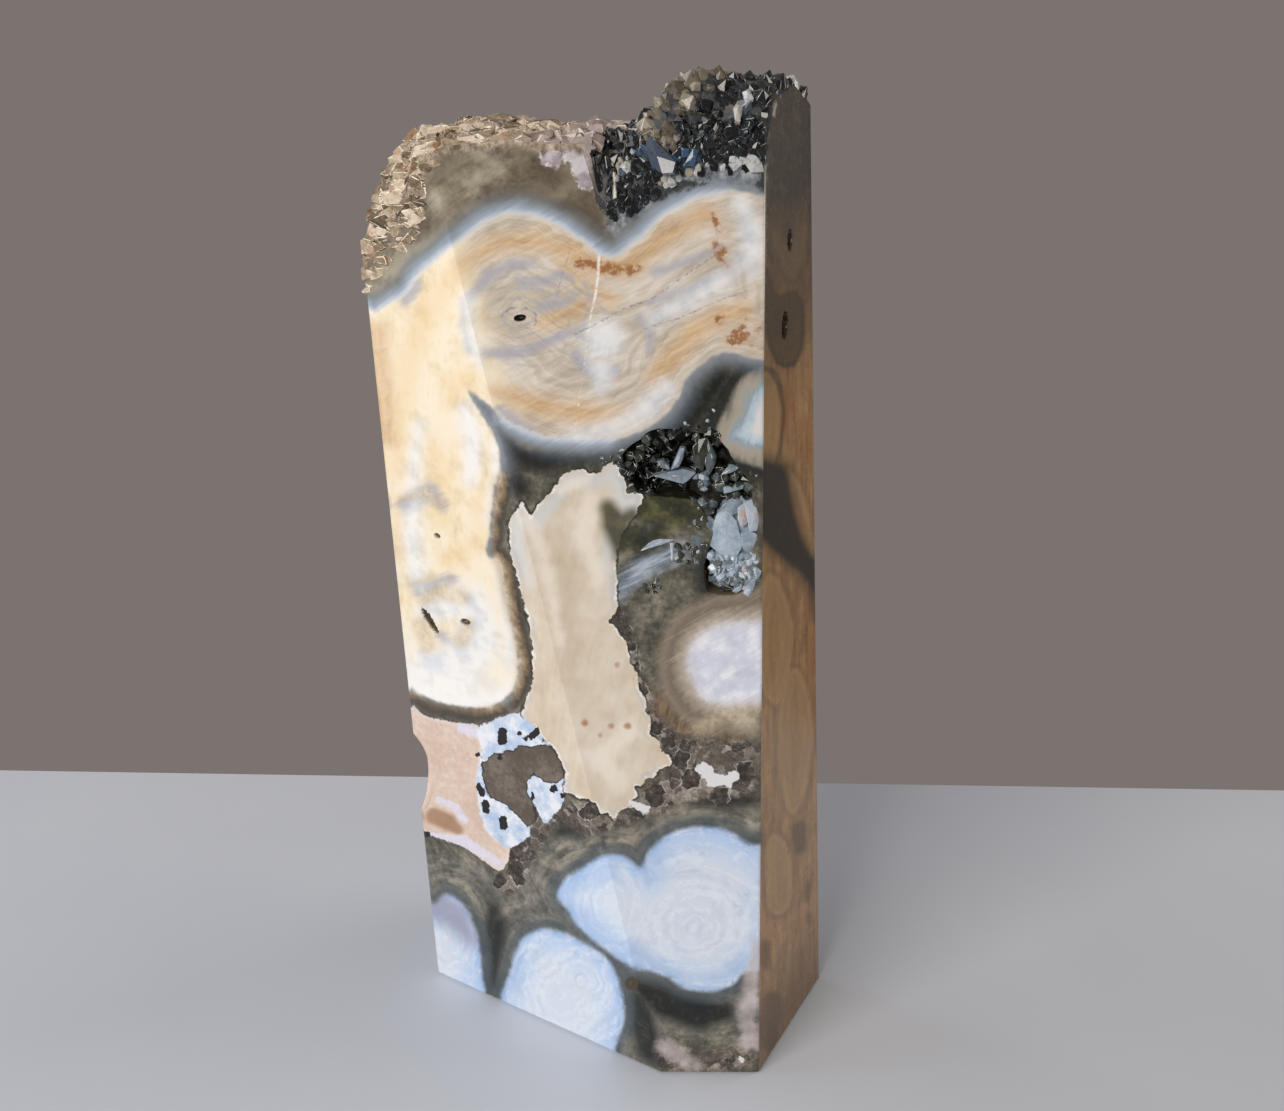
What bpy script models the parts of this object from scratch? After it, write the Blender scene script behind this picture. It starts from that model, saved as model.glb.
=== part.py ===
"""Ocean jasper freeform: a cut and polished stone that stands on its flat base.

Its five walls are flat and polished, and its top is the natural outside of the nodule: a cream lobe with a
broken left shoulder and a higher lobe of dark quartz points. A small hollow in the front holds a crust of
crystals. Lengths in this file are millimetres, and MM turns them into metres where a mesh is made.
"""

import math
import random

import bmesh
import bpy
from mathutils import Matrix, Vector, noise
from mathutils.geometry import intersect_line_line_2d

MM = 0.001

# The polished block from above, anticlockwise: each wall runs from its corner to the next one.
CORNERS = {
    "left_front": (-33.9, -10.5),
    "front_ridge": (16.3, -17.3),
    "right_front": (32.0, -10.5),
    "right_back": (34.7, 18.2),
    "left_back": (-30.1, 18.0),
}
# How far the wall that starts at each corner leans inwards, in degrees.
LEANS = {
    "left_front": -2.15,
    "front_ridge": 5.0,
    "right_front": 3.45,
    "right_back": 0.0,
    "left_back": 0.0,
}
NAMES = list(CORNERS)
# How far the polishing has rounded each upright edge, and how many steps draw the round.
EDGE_ROUNDS = {
    "left_front": 0.8,
    "front_ridge": 0.25,
    "right_front": 0.5,
    "right_back": 0.6,
    "left_back": 1.2,
}
ROUND_STEPS = 3
BASE_CHAMFER = 0.5

# The natural top: a cream lobe whose front edge climbs from the broken left shoulder, a step down, and a higher
# dark lobe. Each lobe rises behind its front edge in a quarter ellipse.
RIM_LEVEL = 150.0
LEFT_FOOT = (-34.2, 132.5)
LEFT_FOOT_SLOPE = 1.45
LEFT_FOOT_TOP = 155.0
LEFT_CREST = 156.4
LEFT_DEPTH = 16.0
LEFT_END = -24.0
LEFT_END_FALL = 0.022
RIGHT_FOOT = (1.8, 146.3)
RIGHT_FOOT_RISE = 4.6
RIGHT_FOOT_LENGTH = 21.0
RIGHT_CREST = 163.8
RIGHT_DEPTH = 10.5
RIGHT_RISE_LENGTH = 10.0
RIGHT_END = (26.4, 4.5)
RIGHT_END_FALL = 5.5
STEP_FROM, STEP_TO = 0.2, 2.8
BACK_FALL_FROM = 9.0
BACK_FALL = 0.022
KNOB = (13.0, 5.0, 4.5, 1.2)
SKIN_LUMP_LENGTH = 6.5
SKIN_LUMP_HEIGHT = 1.1
SKIN_CELL = 1.8
SKIN_REACH = (39.0, 24.0)
SKIN_LOWEST = 25.0
NODULE_BOTTOM = -5.0
BLOCK_TOP = 185.0

# Lumps on the cream skin and quartz points on the dark lobe.
GROWTH_SEED = 11
LUMP_SPACING = 3.9
LUMP_SIZE = (1.7, 3.2)
LUMP_STRETCH = (1.25, 1.0, 0.75)
LUMP_CORNERS = 12
LUMP_SUNK = 0.3
POINT_SPACING = 2.9
POINT_RADIUS = (1.2, 2.1)
POINT_LENGTH = (2.4, 3.8)
POINT_SUNK = 0.62
POINT_SHAKE = (0.5, 0.5, 0.2)
PRISM_SHARE = 0.55
WALL_CLEARANCE = (0.05, 0.2)
SCATTER_TRIES = 9000
SCATTER_LOWEST = 126.0

# The hollow in the right front wall, as places along the wall from the front ridge and up it.
HOLLOW_OUTLINE = [
    (-6.4, 110.6),
    (-3.9, 113.4),
    (-0.8, 115.1),
    (4.4, 114.6),
    (8.2, 113.6),
    (11.4, 108.8),
    (13.3, 105.4),
    (13.5, 96.5),
    (12.6, 89.6),
    (7.2, 89.2),
    (6.3, 93.5),
    (7.4, 99.0),
    (4.6, 103.8),
    (-0.6, 104.6),
    (-4.2, 105.6),
]
HOLLOW_DEPTH = 3.6
HOLLOW_TAPER = 0.7
GAP = 0.3
CRUST_SEED = 29
CRUST_THICKNESS = 1.0
CRUST_TOP = -0.15
CRYSTAL_FIRST = (-7.0, 89.0)
CRYSTAL_GRID = (12, 14)
CRYSTAL_SPACING = 2.1
CRYSTAL_SUNK = 0.6
CRYSTAL_SHAKE = 0.7
CRYSTAL_RADIUS = (0.7, 1.35)
CRYSTAL_LENGTH = (1.8, 3.4)

# Small pits: the wall, place along it, place up it, half length, half width, depth and turn in degrees.
PITS = [
    ("left_front", 6.9, 78.2, 2.6, 0.75, 1.7, -52.0),
    ("left_front", 14.6, 79.9, 1.1, 0.6, 0.9, 10.0),
    ("left_front", 10.2, 94.4, 0.7, 0.5, 0.6, 0.0),
    ("front_ridge", -21.2, 131.5, 1.3, 0.9, 1.2, 8.0),
    ("front_ridge", -9.6, 31.3, 0.9, 0.8, 0.9, 0.0),
    ("right_front", 16.5, 128.8, 2.1, 1.1, 1.2, 80.0),
    ("right_front", 18.8, 141.1, 1.7, 0.9, 0.8, 85.0),
]
# The natural notch low on the left front edge, and the chips on the back right edge: place and size of each.
NOTCH_CENTRE = (-35.2, -13.6, 45.8)
NOTCH_SIZE = (5.0, 5.0, 9.0)
CHIPS = [(31.9, 20.2, 78.5, 2.5), (33.9, 20.3, 42.0, 2.7), (34.9, 20.4, 28.0, 2.5)]


def clear_scene():
    for thing in list(bpy.data.objects):
        bpy.data.objects.remove(thing, do_unlink=True)


def wall_line(index, height):
    """A point on a wall at a height, and the wall's direction from above."""
    start = Vector(CORNERS[NAMES[index]])
    end = Vector(CORNERS[NAMES[(index + 1) % len(NAMES)]])
    along = (end - start).normalized()
    inward = Vector((-along.y, along.x))
    lean = math.tan(math.radians(LEANS[NAMES[index]]))
    return start + inward * (height * lean), along


def corner_at(index, height):
    """Where the wall before a corner meets the wall that starts there, at a height."""
    point, along = wall_line(index, height)
    before, before_along = wall_line(index - 1, height)
    cross = before_along.x * along.y - before_along.y * along.x
    gap = point - before
    reach = (gap.x * along.y - gap.y * along.x) / cross
    return before + before_along * reach


def outline(height, inset=0.0):
    """The block's outline at a height, with its rounded corners: the same count of points at every height."""
    corners = [corner_at(i, height) for i in range(len(NAMES))]
    points = []
    for i, name in enumerate(NAMES):
        corner = corners[i]
        ahead = (corners[(i + 1) % len(NAMES)] - corner).normalized()
        behind = (corners[i - 1] - corner).normalized()
        turn = math.pi - ahead.angle(behind)
        radius = EDGE_ROUNDS[name]
        centre = corner + (ahead + behind).normalized() * (radius / math.cos(turn / 2))
        spoke = corner + behind * (radius * math.tan(turn / 2)) - centre
        inwards = (ahead + behind).normalized() * (inset / math.cos(turn / 2))
        for step in range(ROUND_STEPS + 1):
            turned = Matrix.Rotation(turn * step / ROUND_STEPS, 2) @ spoke
            points.append(centre + turned + inwards)
    return points


def smooth_step(value, low, high):
    share = min(max((value - low) / (high - low), 0.0), 1.0)
    return share * share * (3 - 2 * share)


def smooth_min(a, b, width):
    blend = max(width - abs(a - b), 0.0) / width
    return min(a, b) - blend * blend * width / 4


def behind_wall(name, x, y):
    """How far a place is behind a wall, at the level of the rim."""
    point, along = wall_line(NAMES.index(name), RIM_LEVEL)
    return Vector((-along.y, along.x)).dot(Vector((x, y)) - point)


def rounded_rise(foot, crest, depth, reach):
    """A quarter ellipse from the foot, at depth 0, up to the crest, at depth reach."""
    share = min(max(depth / reach, 0.0), 1.0)
    return foot + (crest - foot) * math.sqrt(1 - (1 - share) ** 2)


def left_lobe(x, y):
    depth = min(behind_wall("left_front", x, y), behind_wall("front_ridge", x, y))
    foot_x, foot_z = LEFT_FOOT
    foot = smooth_min(foot_z + LEFT_FOOT_SLOPE * (x - foot_x), LEFT_FOOT_TOP, 3.0)
    end = max(LEFT_END - x, 0.0)
    return rounded_rise(foot, LEFT_CREST, depth, LEFT_DEPTH) - LEFT_END_FALL * end * end


def right_lobe(x, y):
    foot_x, foot_z = RIGHT_FOOT
    along = min(max((x - foot_x) / RIGHT_FOOT_LENGTH, 0.0), 1.0)
    foot = foot_z + RIGHT_FOOT_RISE * math.sin(along * math.pi / 2)
    rise = smooth_step(x, foot_x - 1.0, foot_x + RIGHT_RISE_LENGTH)
    crest = LEFT_CREST + (RIGHT_CREST - LEFT_CREST) * rise
    end = max(x - (RIGHT_END[0] - RIGHT_END[1]), 0.0) / RIGHT_END[1]
    knob_x, knob_y, knob_radius, knob_height = KNOB
    knob = knob_height * math.exp(-((x - knob_x) ** 2 + (y - knob_y) ** 2) / knob_radius**2)
    height = rounded_rise(foot, crest, behind_wall("front_ridge", x, y), RIGHT_DEPTH)
    return height + knob - RIGHT_END_FALL * end * end


def natural_height(x, y):
    """The height of the nodule's natural outside over a place, with its broad lumps."""
    step = smooth_step(x, STEP_FROM, STEP_TO)
    back = max(y - BACK_FALL_FROM, 0.0)
    height = left_lobe(x, y) * (1 - step) + right_lobe(x, y) * step - BACK_FALL * back * back
    place = Vector((x, y, height)) / SKIN_LUMP_LENGTH
    return height + SKIN_LUMP_HEIGHT * noise.noise(place)


def cut_block():
    """The polished block, taller than the stone, as one closed mesh."""
    bm = bmesh.new()
    levels = ((0.0, BASE_CHAMFER), (BASE_CHAMFER, 0.0), (BLOCK_TOP, 0.0))
    rings = [[bm.verts.new((p.x, p.y, z)) for p in outline(z, inset)] for z, inset in levels]
    bm.faces.new(list(reversed(rings[0])))
    bm.faces.new(rings[-1])
    for lower, upper in zip(rings, rings[1:]):
        for i in range(len(lower)):
            j = (i + 1) % len(lower)
            bm.faces.new((lower[i], lower[j], upper[j], upper[i]))
    return bm


def natural_nodule():
    """The nodule under its natural outside, wider than the block, as one closed mesh."""
    bm = bmesh.new()
    reach_x, reach_y = SKIN_REACH
    columns, rows = round(2 * reach_x / SKIN_CELL), round(2 * reach_y / SKIN_CELL)
    tops = []
    for row in range(rows + 1):
        y = -reach_y + 2 * reach_y * row / rows
        places = [(-reach_x + 2 * reach_x * column / columns, y) for column in range(columns + 1)]
        tops.append([bm.verts.new((x, y, max(natural_height(x, y), SKIN_LOWEST))) for x, _ in places])
    rim = tops[0][:-1] + [row[-1] for row in tops[:-1]] + tops[-1][:0:-1] + [row[0] for row in tops[:0:-1]]
    feet = [bm.verts.new((v.co.x, v.co.y, NODULE_BOTTOM)) for v in rim]
    for lower, upper in zip(tops, tops[1:]):
        for i in range(columns):
            bm.faces.new((lower[i], lower[i + 1], upper[i + 1], upper[i]))
    for i in range(len(rim)):
        j = (i + 1) % len(rim)
        bm.faces.new((rim[j], rim[i], feet[i], feet[j]))
    bm.faces.new(list(reversed(feet)))
    bmesh.ops.recalc_face_normals(bm, faces=bm.faces[:])
    return bm


def new_object(name, bm):
    """Turns a millimetre mesh into a named object in metres."""
    bmesh.ops.scale(bm, vec=(MM, MM, MM), verts=bm.verts[:])
    mesh = bpy.data.meshes.new(name)
    bm.to_mesh(mesh)
    bm.free()
    thing = bpy.data.objects.new(name, mesh)
    bpy.context.scene.collection.objects.link(thing)
    return thing


def helper_object(name, bm):
    """An object that only shapes another one."""
    thing = new_object(name, bm)
    thing.hide_render = True
    thing.display_type = "WIRE"
    return thing


def combine(thing, helper, operation, overlapping=False):
    """A Boolean with a helper object; overlapping says that one of the two meshes crosses itself."""
    boolean = thing.modifiers.new(helper.name, "BOOLEAN")
    boolean.operation = operation
    boolean.object = helper
    boolean.solver = "EXACT"
    boolean.use_self = overlapping


def quartz_point(bm, base, axis, radius, length, spin):
    """A six-sided crystal with a blunt pyramid end, standing on base along axis."""
    turned = axis.to_track_quat("Z", "Y").to_matrix().to_4x4() @ Matrix.Rotation(spin, 4, "Z")
    place = Matrix.Translation(base) @ turned
    rings = []
    for height, share in ((0.0, 1.0), (length * PRISM_SHARE, 0.96)):
        corners = [
            Vector((math.cos(k * math.pi / 3), math.sin(k * math.pi / 3), 0.0)) * radius * share
            for k in range(6)
        ]
        rings.append([bm.verts.new(place @ (c + Vector((0, 0, height)))) for c in corners])
    tip = bm.verts.new(place @ Vector((radius * 0.25, radius * 0.1, length)))
    bm.faces.new(list(reversed(rings[0])))
    for k in range(6):
        n = (k + 1) % 6
        bm.faces.new((rings[0][k], rings[0][n], rings[1][n], rings[1][k]))
        bm.faces.new((rings[1][k], rings[1][n], tip))


def lump(bm, centre, size, rng):
    """A broken, flat-faced lump: the hull of a few points round a flattened ball."""
    made = []
    for _ in range(LUMP_CORNERS):
        way = Vector((rng.gauss(0, 1), rng.gauss(0, 1), rng.gauss(0, 1))).normalized()
        made.append(bm.verts.new(centre + way * Vector(LUMP_STRETCH) * size))
    hull = bmesh.ops.convex_hull(bm, input=made, use_existing_faces=False)
    unused = [v for v in hull["geom_unused"] + hull["geom_interior"] if isinstance(v, bmesh.types.BMVert)]
    bmesh.ops.delete(bm, geom=list(set(unused)), context="VERTS")


def wall_frame(name):
    """A wall's origin at the foot of its corner, and its directions: along, up and outward."""
    index = NAMES.index(name)
    low, along = wall_line(index, 0.0)
    high, _ = wall_line(index, 100.0)
    side = Vector((along.x, along.y, 0.0))
    rough_up = Vector((high.x - low.x, high.y - low.y, 100.0))
    outward = side.cross(rough_up).normalized()
    up = outward.cross(side).normalized()
    return Vector((low.x, low.y, 0.0)), side, up, outward


def trim_to_walls(bm, clearance):
    """Cuts one convex crystal back to just inside every wall."""
    for name in NAMES:
        origin, _, _, outward = wall_frame(name)
        everything = bm.verts[:] + bm.edges[:] + bm.faces[:]
        inside = origin - outward * clearance
        cut = bmesh.ops.bisect_plane(bm, geom=everything, plane_co=inside, plane_no=outward, clear_outer=True)
        rim = [edge for edge in cut["geom_cut"] if isinstance(edge, bmesh.types.BMEdge)]
        if rim:
            bmesh.ops.contextual_create(bm, geom=rim)


def surface_normal(x, y):
    reach = 0.8
    slope_x = (natural_height(x + reach, y) - natural_height(x - reach, y)) / (2 * reach)
    slope_y = (natural_height(x, y + reach) - natural_height(x, y - reach)) / (2 * reach)
    return Vector((-slope_x, -slope_y, 1.0)).normalized()


def add_mesh(bm, piece):
    """Copies one small mesh into a larger one."""
    copies = {vert: bm.verts.new(vert.co) for vert in piece.verts}
    for face in piece.faces:
        bm.faces.new([copies[vert] for vert in face.verts])


def inside_block(x, y, height, margin):
    for i in range(len(NAMES)):
        point, along = wall_line(i, height)
        inward = Vector((-along.y, along.x))
        if inward.dot(Vector((x, y)) - point) < margin:
            return False
    return True


def scattered(spacing, rng, low_x, high_x):
    """Places over the natural top that keep their spacing, on its steep fronts as well as on its crests."""
    places = []
    for _ in range(SCATTER_TRIES):
        x, y = rng.uniform(low_x, high_x), rng.uniform(-18.6, 18.4)
        height = natural_height(x, y)
        if height < SCATTER_LOWEST or not inside_block(x, y, height, 0.1):
            continue
        place = Vector((x, y, height))
        if all((place - other).length > spacing for other in places):
            places.append(place)
    return places


def top_growths():
    """Every lump and quartz point of the natural top, in one mesh."""
    rng = random.Random(GROWTH_SEED)
    bm = bmesh.new()
    for place in scattered(LUMP_SPACING, rng, -34.0, STEP_FROM):
        piece = bmesh.new()
        size = rng.uniform(*LUMP_SIZE)
        normal = surface_normal(place.x, place.y)
        lump(piece, place - normal * size * LUMP_SUNK, size, rng)
        trim_to_walls(piece, rng.uniform(*WALL_CLEARANCE))
        add_mesh(bm, piece)
        piece.free()
    for place in scattered(POINT_SPACING, rng, STEP_FROM + 1.0, 27.0):
        piece = bmesh.new()
        shake = Vector([rng.uniform(-reach, reach) for reach in POINT_SHAKE])
        axis = (surface_normal(place.x, place.y) + shake).normalized()
        length = rng.uniform(*POINT_LENGTH)
        base = place - axis * length * POINT_SUNK
        quartz_point(piece, base, axis, rng.uniform(*POINT_RADIUS), length, rng.uniform(0, math.pi))
        trim_to_walls(piece, rng.uniform(*WALL_CLEARANCE))
        add_mesh(bm, piece)
        piece.free()
    bmesh.ops.recalc_face_normals(bm, faces=bm.faces[:])
    return bm


def on_wall(frame, along, up, out=0.0):
    origin, side, rise, outward = frame
    return origin + side * along + rise * up + outward * out


def shrunk(points, inset):
    """An outline moved inwards by inset, each corner where its two moved sides meet."""
    moved = []
    count = len(points)
    for i in range(count):
        before, here, after = Vector(points[i - 1]), Vector(points[i]), Vector(points[(i + 1) % count])
        into_a = (here - before).orthogonal().normalized() * -inset
        into_b = (after - here).orthogonal().normalized() * -inset
        reach = 100.0
        first = (before + into_a - (here - before) * reach, here + into_a + (here - before) * reach)
        second = (here + into_b - (after - here) * reach, after + into_b + (after - here) * reach)
        met = intersect_line_line_2d(first[0], first[1], second[0], second[1])
        moved.append(met if met else here + into_a)
    return moved


def hollow_block(inset, top):
    """The space of the hollow, shrunk by inset, from its floor up to top above the wall."""
    frame = wall_frame("front_ridge")
    mouth = shrunk(HOLLOW_OUTLINE, inset)
    floor = shrunk(HOLLOW_OUTLINE, inset + HOLLOW_TAPER)
    bm = bmesh.new()
    low = [bm.verts.new(on_wall(frame, p.x, p.y, -HOLLOW_DEPTH + inset)) for p in floor]
    rim = [bm.verts.new(on_wall(frame, p.x, p.y, min(top, 0.0))) for p in mouth]
    rings = [low, rim]
    if top > 0:
        rings.append([bm.verts.new(on_wall(frame, p.x, p.y, top)) for p in mouth])
    bm.faces.new(rings[0])
    bm.faces.new(list(reversed(rings[-1])))
    count = len(mouth)
    for lower, upper in zip(rings, rings[1:]):
        for i in range(count):
            j = (i + 1) % count
            bm.faces.new((lower[j], lower[i], upper[i], upper[j]))
    bmesh.ops.recalc_face_normals(bm, faces=bm.faces[:])
    return bm


def inside_outline(x, y, points):
    """Whether a place is inside an outline, by counting the sides to its right."""
    inside = False
    for i, here in enumerate(points):
        before = points[i - 1]
        if (here[1] > y) != (before[1] > y):
            crossing = here[0] + (y - here[1]) * (before[0] - here[0]) / (before[1] - here[1])
            if crossing > x:
                inside = not inside
    return inside


def crust_growth():
    """The crust's floor and the crystals that stand on it, larger than the hollow on every side."""
    frame = wall_frame("front_ridge")
    rng = random.Random(CRUST_SEED)
    outline_points = shrunk(HOLLOW_OUTLINE, -1.0)
    low_level, high_level = -HOLLOW_DEPTH - 1.0, -HOLLOW_DEPTH + GAP + CRUST_THICKNESS
    bm = bmesh.new()
    low = [bm.verts.new(on_wall(frame, p.x, p.y, low_level)) for p in outline_points]
    high = [bm.verts.new(on_wall(frame, p.x, p.y, high_level)) for p in outline_points]
    bm.faces.new(low)
    bm.faces.new(list(reversed(high)))
    count = len(low)
    for i in range(count):
        j = (i + 1) % count
        bm.faces.new((low[j], low[i], high[i], high[j]))
    outward = frame[3]
    for column in range(CRYSTAL_GRID[0]):
        for row in range(CRYSTAL_GRID[1]):
            along = CRYSTAL_FIRST[0] + CRYSTAL_SPACING * (column + rng.uniform(-0.3, 0.3))
            up = CRYSTAL_FIRST[1] + CRYSTAL_SPACING * (row + rng.uniform(-0.3, 0.3))
            radius = rng.uniform(*CRYSTAL_RADIUS)
            length = rng.uniform(*CRYSTAL_LENGTH)
            spin = rng.uniform(0, math.pi)
            shake = [rng.uniform(-CRYSTAL_SHAKE, CRYSTAL_SHAKE) for _ in range(3)]
            if not inside_outline(along, up, HOLLOW_OUTLINE):
                continue
            axis = (outward + Vector(shake)).normalized()
            base = on_wall(frame, along, up, high_level - CRYSTAL_SUNK)
            quartz_point(bm, base, axis, radius, length, spin)
    bmesh.ops.recalc_face_normals(bm, faces=bm.faces[:])
    return bm


def ellipsoid(bm, centre, directions, size, rings=7, segments=10):
    """A closed faceted ball with its own three directions and half sizes."""
    rows = []
    for ring in range(1, rings):
        polar = math.pi * ring / rings
        row = []
        for segment in range(segments):
            angle = 2 * math.pi * segment / segments
            local = (
                math.sin(polar) * math.cos(angle) * size[0],
                math.sin(polar) * math.sin(angle) * size[1],
                math.cos(polar) * size[2],
            )
            row.append(bm.verts.new(centre + sum((d * c for d, c in zip(directions, local)), Vector())))
        rows.append(row)
    top = bm.verts.new(centre + directions[2] * size[2])
    bottom = bm.verts.new(centre - directions[2] * size[2])
    for segment in range(segments):
        n = (segment + 1) % segments
        bm.faces.new((top, rows[0][segment], rows[0][n]))
        bm.faces.new((bottom, rows[-1][n], rows[-1][segment]))
        for upper, lower in zip(rows, rows[1:]):
            bm.faces.new((upper[segment], lower[segment], lower[n], upper[n]))


def hollowed_places():
    """The pits, the notch and the chips, as one mesh of balls that cut into the stone."""
    bm = bmesh.new()
    for name, along, up, half_length, half_width, depth, turn in PITS:
        frame = wall_frame(name)
        _, side, rise, outward = frame
        angle = math.radians(turn)
        long_way = side * math.cos(angle) + rise * math.sin(angle)
        short_way = outward.cross(long_way)
        directions = (long_way, short_way, outward)
        ellipsoid(bm, on_wall(frame, along, up), directions, (half_length, half_width, depth))
    axes = (Vector((1, 0, 0)), Vector((0, 1, 0)), Vector((0, 0, 1)))
    ellipsoid(bm, Vector(NOTCH_CENTRE), axes, NOTCH_SIZE, rings=9, segments=12)
    for x, y, z, size in CHIPS:
        ellipsoid(bm, Vector((x, y, z)), axes, (size, size, size * 1.5))
    bmesh.ops.recalc_face_normals(bm, faces=bm.faces[:])
    return bm


def stone_material(name, colour, roughness):
    material = bpy.data.materials.new(name)
    material.use_nodes = True
    shader = material.node_tree.nodes["Principled BSDF"]
    shader.inputs["Base Color"].default_value = (*colour, 1.0)
    shader.inputs["Roughness"].default_value = roughness
    shader.inputs["Metallic"].default_value = 0.0
    return material


def make_stone():
    stone = new_object("stone", cut_block())
    stone.data.materials.append(stone_material("polished_jasper", (0.55, 0.47, 0.36), 0.18))
    combine(stone, helper_object("natural_nodule", natural_nodule()), "INTERSECT")
    combine(stone, helper_object("top_growths", top_growths()), "UNION", overlapping=True)
    combine(stone, helper_object("hollow_space", hollow_block(0.0, 2.0)), "DIFFERENCE")
    combine(stone, helper_object("hollowed_places", hollowed_places()), "DIFFERENCE")


def make_crust():
    crust = new_object("crystal_crust", crust_growth())
    crust.data.materials.append(stone_material("clear_quartz", (0.62, 0.68, 0.74), 0.08))
    space = helper_object("crust_space", hollow_block(GAP, CRUST_TOP))
    combine(crust, space, "INTERSECT", overlapping=True)


def main():
    clear_scene()
    make_stone()
    make_crust()


main()
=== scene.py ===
"""Looks of the ocean jasper freeform: polished orbs and bands, a natural top and a crystal hollow.

The stone is one closed mesh in place of the plain solid. What shows in its walls is drawn as outlines in the
picture's pixels. Each point of the mesh keeps how deep it lies inside each outline, in millimetres, and the
materials turn those depths into bands, halos and ragged edges. Lengths are millimetres, and MM makes them metres.
"""

import math
import random

import bmesh
import bpy
import numpy as np
from mathutils import Matrix, Vector, noise
from mathutils.geometry import delaunay_2d_cdt


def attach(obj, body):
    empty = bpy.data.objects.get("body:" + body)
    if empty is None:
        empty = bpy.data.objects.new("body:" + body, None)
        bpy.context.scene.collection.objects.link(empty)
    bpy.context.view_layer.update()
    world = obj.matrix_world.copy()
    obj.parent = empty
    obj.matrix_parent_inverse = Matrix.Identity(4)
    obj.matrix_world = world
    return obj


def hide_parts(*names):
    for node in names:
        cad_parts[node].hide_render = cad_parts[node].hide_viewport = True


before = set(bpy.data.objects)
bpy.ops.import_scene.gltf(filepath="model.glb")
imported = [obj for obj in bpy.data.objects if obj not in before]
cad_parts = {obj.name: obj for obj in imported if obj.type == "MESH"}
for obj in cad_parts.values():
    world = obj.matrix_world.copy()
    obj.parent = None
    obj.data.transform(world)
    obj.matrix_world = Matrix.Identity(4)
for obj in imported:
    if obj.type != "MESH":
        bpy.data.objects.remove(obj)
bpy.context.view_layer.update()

MM = 0.001

# The camera, in the picture's pixels and millimetres.
PICTURE = (1284, 1111)
FOCAL_PIXELS = 1300.0
CAMERA_PLACE = (84.68, -181.3, 170.0)
CAMERA_TURN = 23.7
CAMERA_TILT = 22.0
SENSOR = 36.0

# The polished block, repeated from the solid's own source.
CORNERS = {
    "left_front": (-33.9, -10.5),
    "front_ridge": (16.3, -17.3),
    "right_front": (32.0, -10.5),
    "right_back": (34.7, 18.2),
    "left_back": (-30.1, 18.0),
}
LEANS = {"left_front": -2.15, "front_ridge": 5.0, "right_front": 3.45, "right_back": 0.0, "left_back": 0.0}
NAMES = list(CORNERS)
EDGE_ROUNDS = {"left_front": 0.8, "front_ridge": 0.25, "right_front": 0.5, "right_back": 0.6, "left_back": 1.2}
ROUND_STEPS = 3
BASE_CHAMFER = 0.5

# The natural top, repeated from the solid's own source.
RIM_LEVEL = 150.0
LEFT_FOOT = (-34.2, 132.5)
LEFT_FOOT_SLOPE = 1.45
LEFT_FOOT_TOP = 155.0
LEFT_CREST = 156.4
LEFT_DEPTH = 16.0
LEFT_END = -24.0
LEFT_END_FALL = 0.022
RIGHT_FOOT = (1.8, 146.3)
RIGHT_FOOT_RISE = 4.6
RIGHT_FOOT_LENGTH = 21.0
RIGHT_CREST = 163.8
RIGHT_DEPTH = 10.5
RIGHT_RISE_LENGTH = 10.0
RIGHT_END = (26.4, 4.5)
RIGHT_END_FALL = 5.5
STEP_FROM, STEP_TO = 0.2, 2.8
BACK_FALL_FROM = 9.0
BACK_FALL = 0.022
KNOB = (13.0, 5.0, 4.5, 1.2)
SKIN_LUMP_LENGTH = 6.5
SKIN_LUMP_HEIGHT = 1.1

# Lumps and quartz points of the top: the large ones stand where the solid has them, the small ones between.
GROWTH_SEED = 11
LUMP_SPACING = 3.9
LUMP_SIZE = (1.7, 3.2)
LUMP_STRETCH = (1.25, 1.0, 0.75)
LUMP_CORNERS = 12
LUMP_SUNK = 0.3
POINT_SPACING = 2.9
POINT_RADIUS = (1.2, 2.1)
POINT_LENGTH = (2.4, 3.8)
POINT_SUNK = 0.62
POINT_SHAKE = (0.5, 0.5, 0.2)
PRISM_SHARE = 0.55
WALL_CLEARANCE = (0.05, 0.2)
SCATTER_TRIES = 9000
SCATTER_LOWEST = 126.0

PROUD = (0.05, 0.4)
GLINT_EDGE_ANGLE = 34.0
SMALL_LUMP_SPACING = 2.3
SMALL_LUMP_SIZE = (1.3, 2.9)
SMALL_POINT_SPACING = 1.7
SMALL_POINT_RADIUS = (0.7, 1.5)
SMALL_POINT_LENGTH = (1.3, 2.4)
CRUST_SEED = 29

HOLLOW_OUTLINE = [
    (-6.4, 110.6), (-3.9, 113.4), (-0.8, 115.1), (4.4, 114.6), (8.2, 113.6), (11.4, 108.8), (13.3, 105.4),
    (13.5, 96.5), (12.6, 89.6), (7.2, 89.2), (6.3, 93.5), (7.4, 99.0), (4.6, 103.8), (-0.6, 104.6), (-4.2, 105.6),
]
HOLLOW_DEPTH = 3.6
HOLLOW_TAPER = 0.7
PITS = [
    ("left_front", 6.9, 78.2, 2.6, 0.75, 1.7, -52.0),
    ("left_front", 14.6, 79.9, 1.1, 0.6, 0.9, 10.0),
    ("left_front", 10.2, 94.4, 0.7, 0.5, 0.6, 0.0),
    ("front_ridge", -21.2, 131.5, 0.95, 0.5, 1.0, 8.0),
    ("front_ridge", -9.6, 31.3, 0.9, 0.8, 0.9, 0.0),
    ("right_front", 16.5, 128.8, 2.1, 1.1, 1.2, 80.0),
    ("right_front", 18.8, 141.1, 1.7, 0.9, 0.8, 85.0),
]
NOTCH_CENTRE = (-35.2, -13.6, 45.8)
NOTCH_SIZE = (5.0, 5.0, 9.0)
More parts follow.
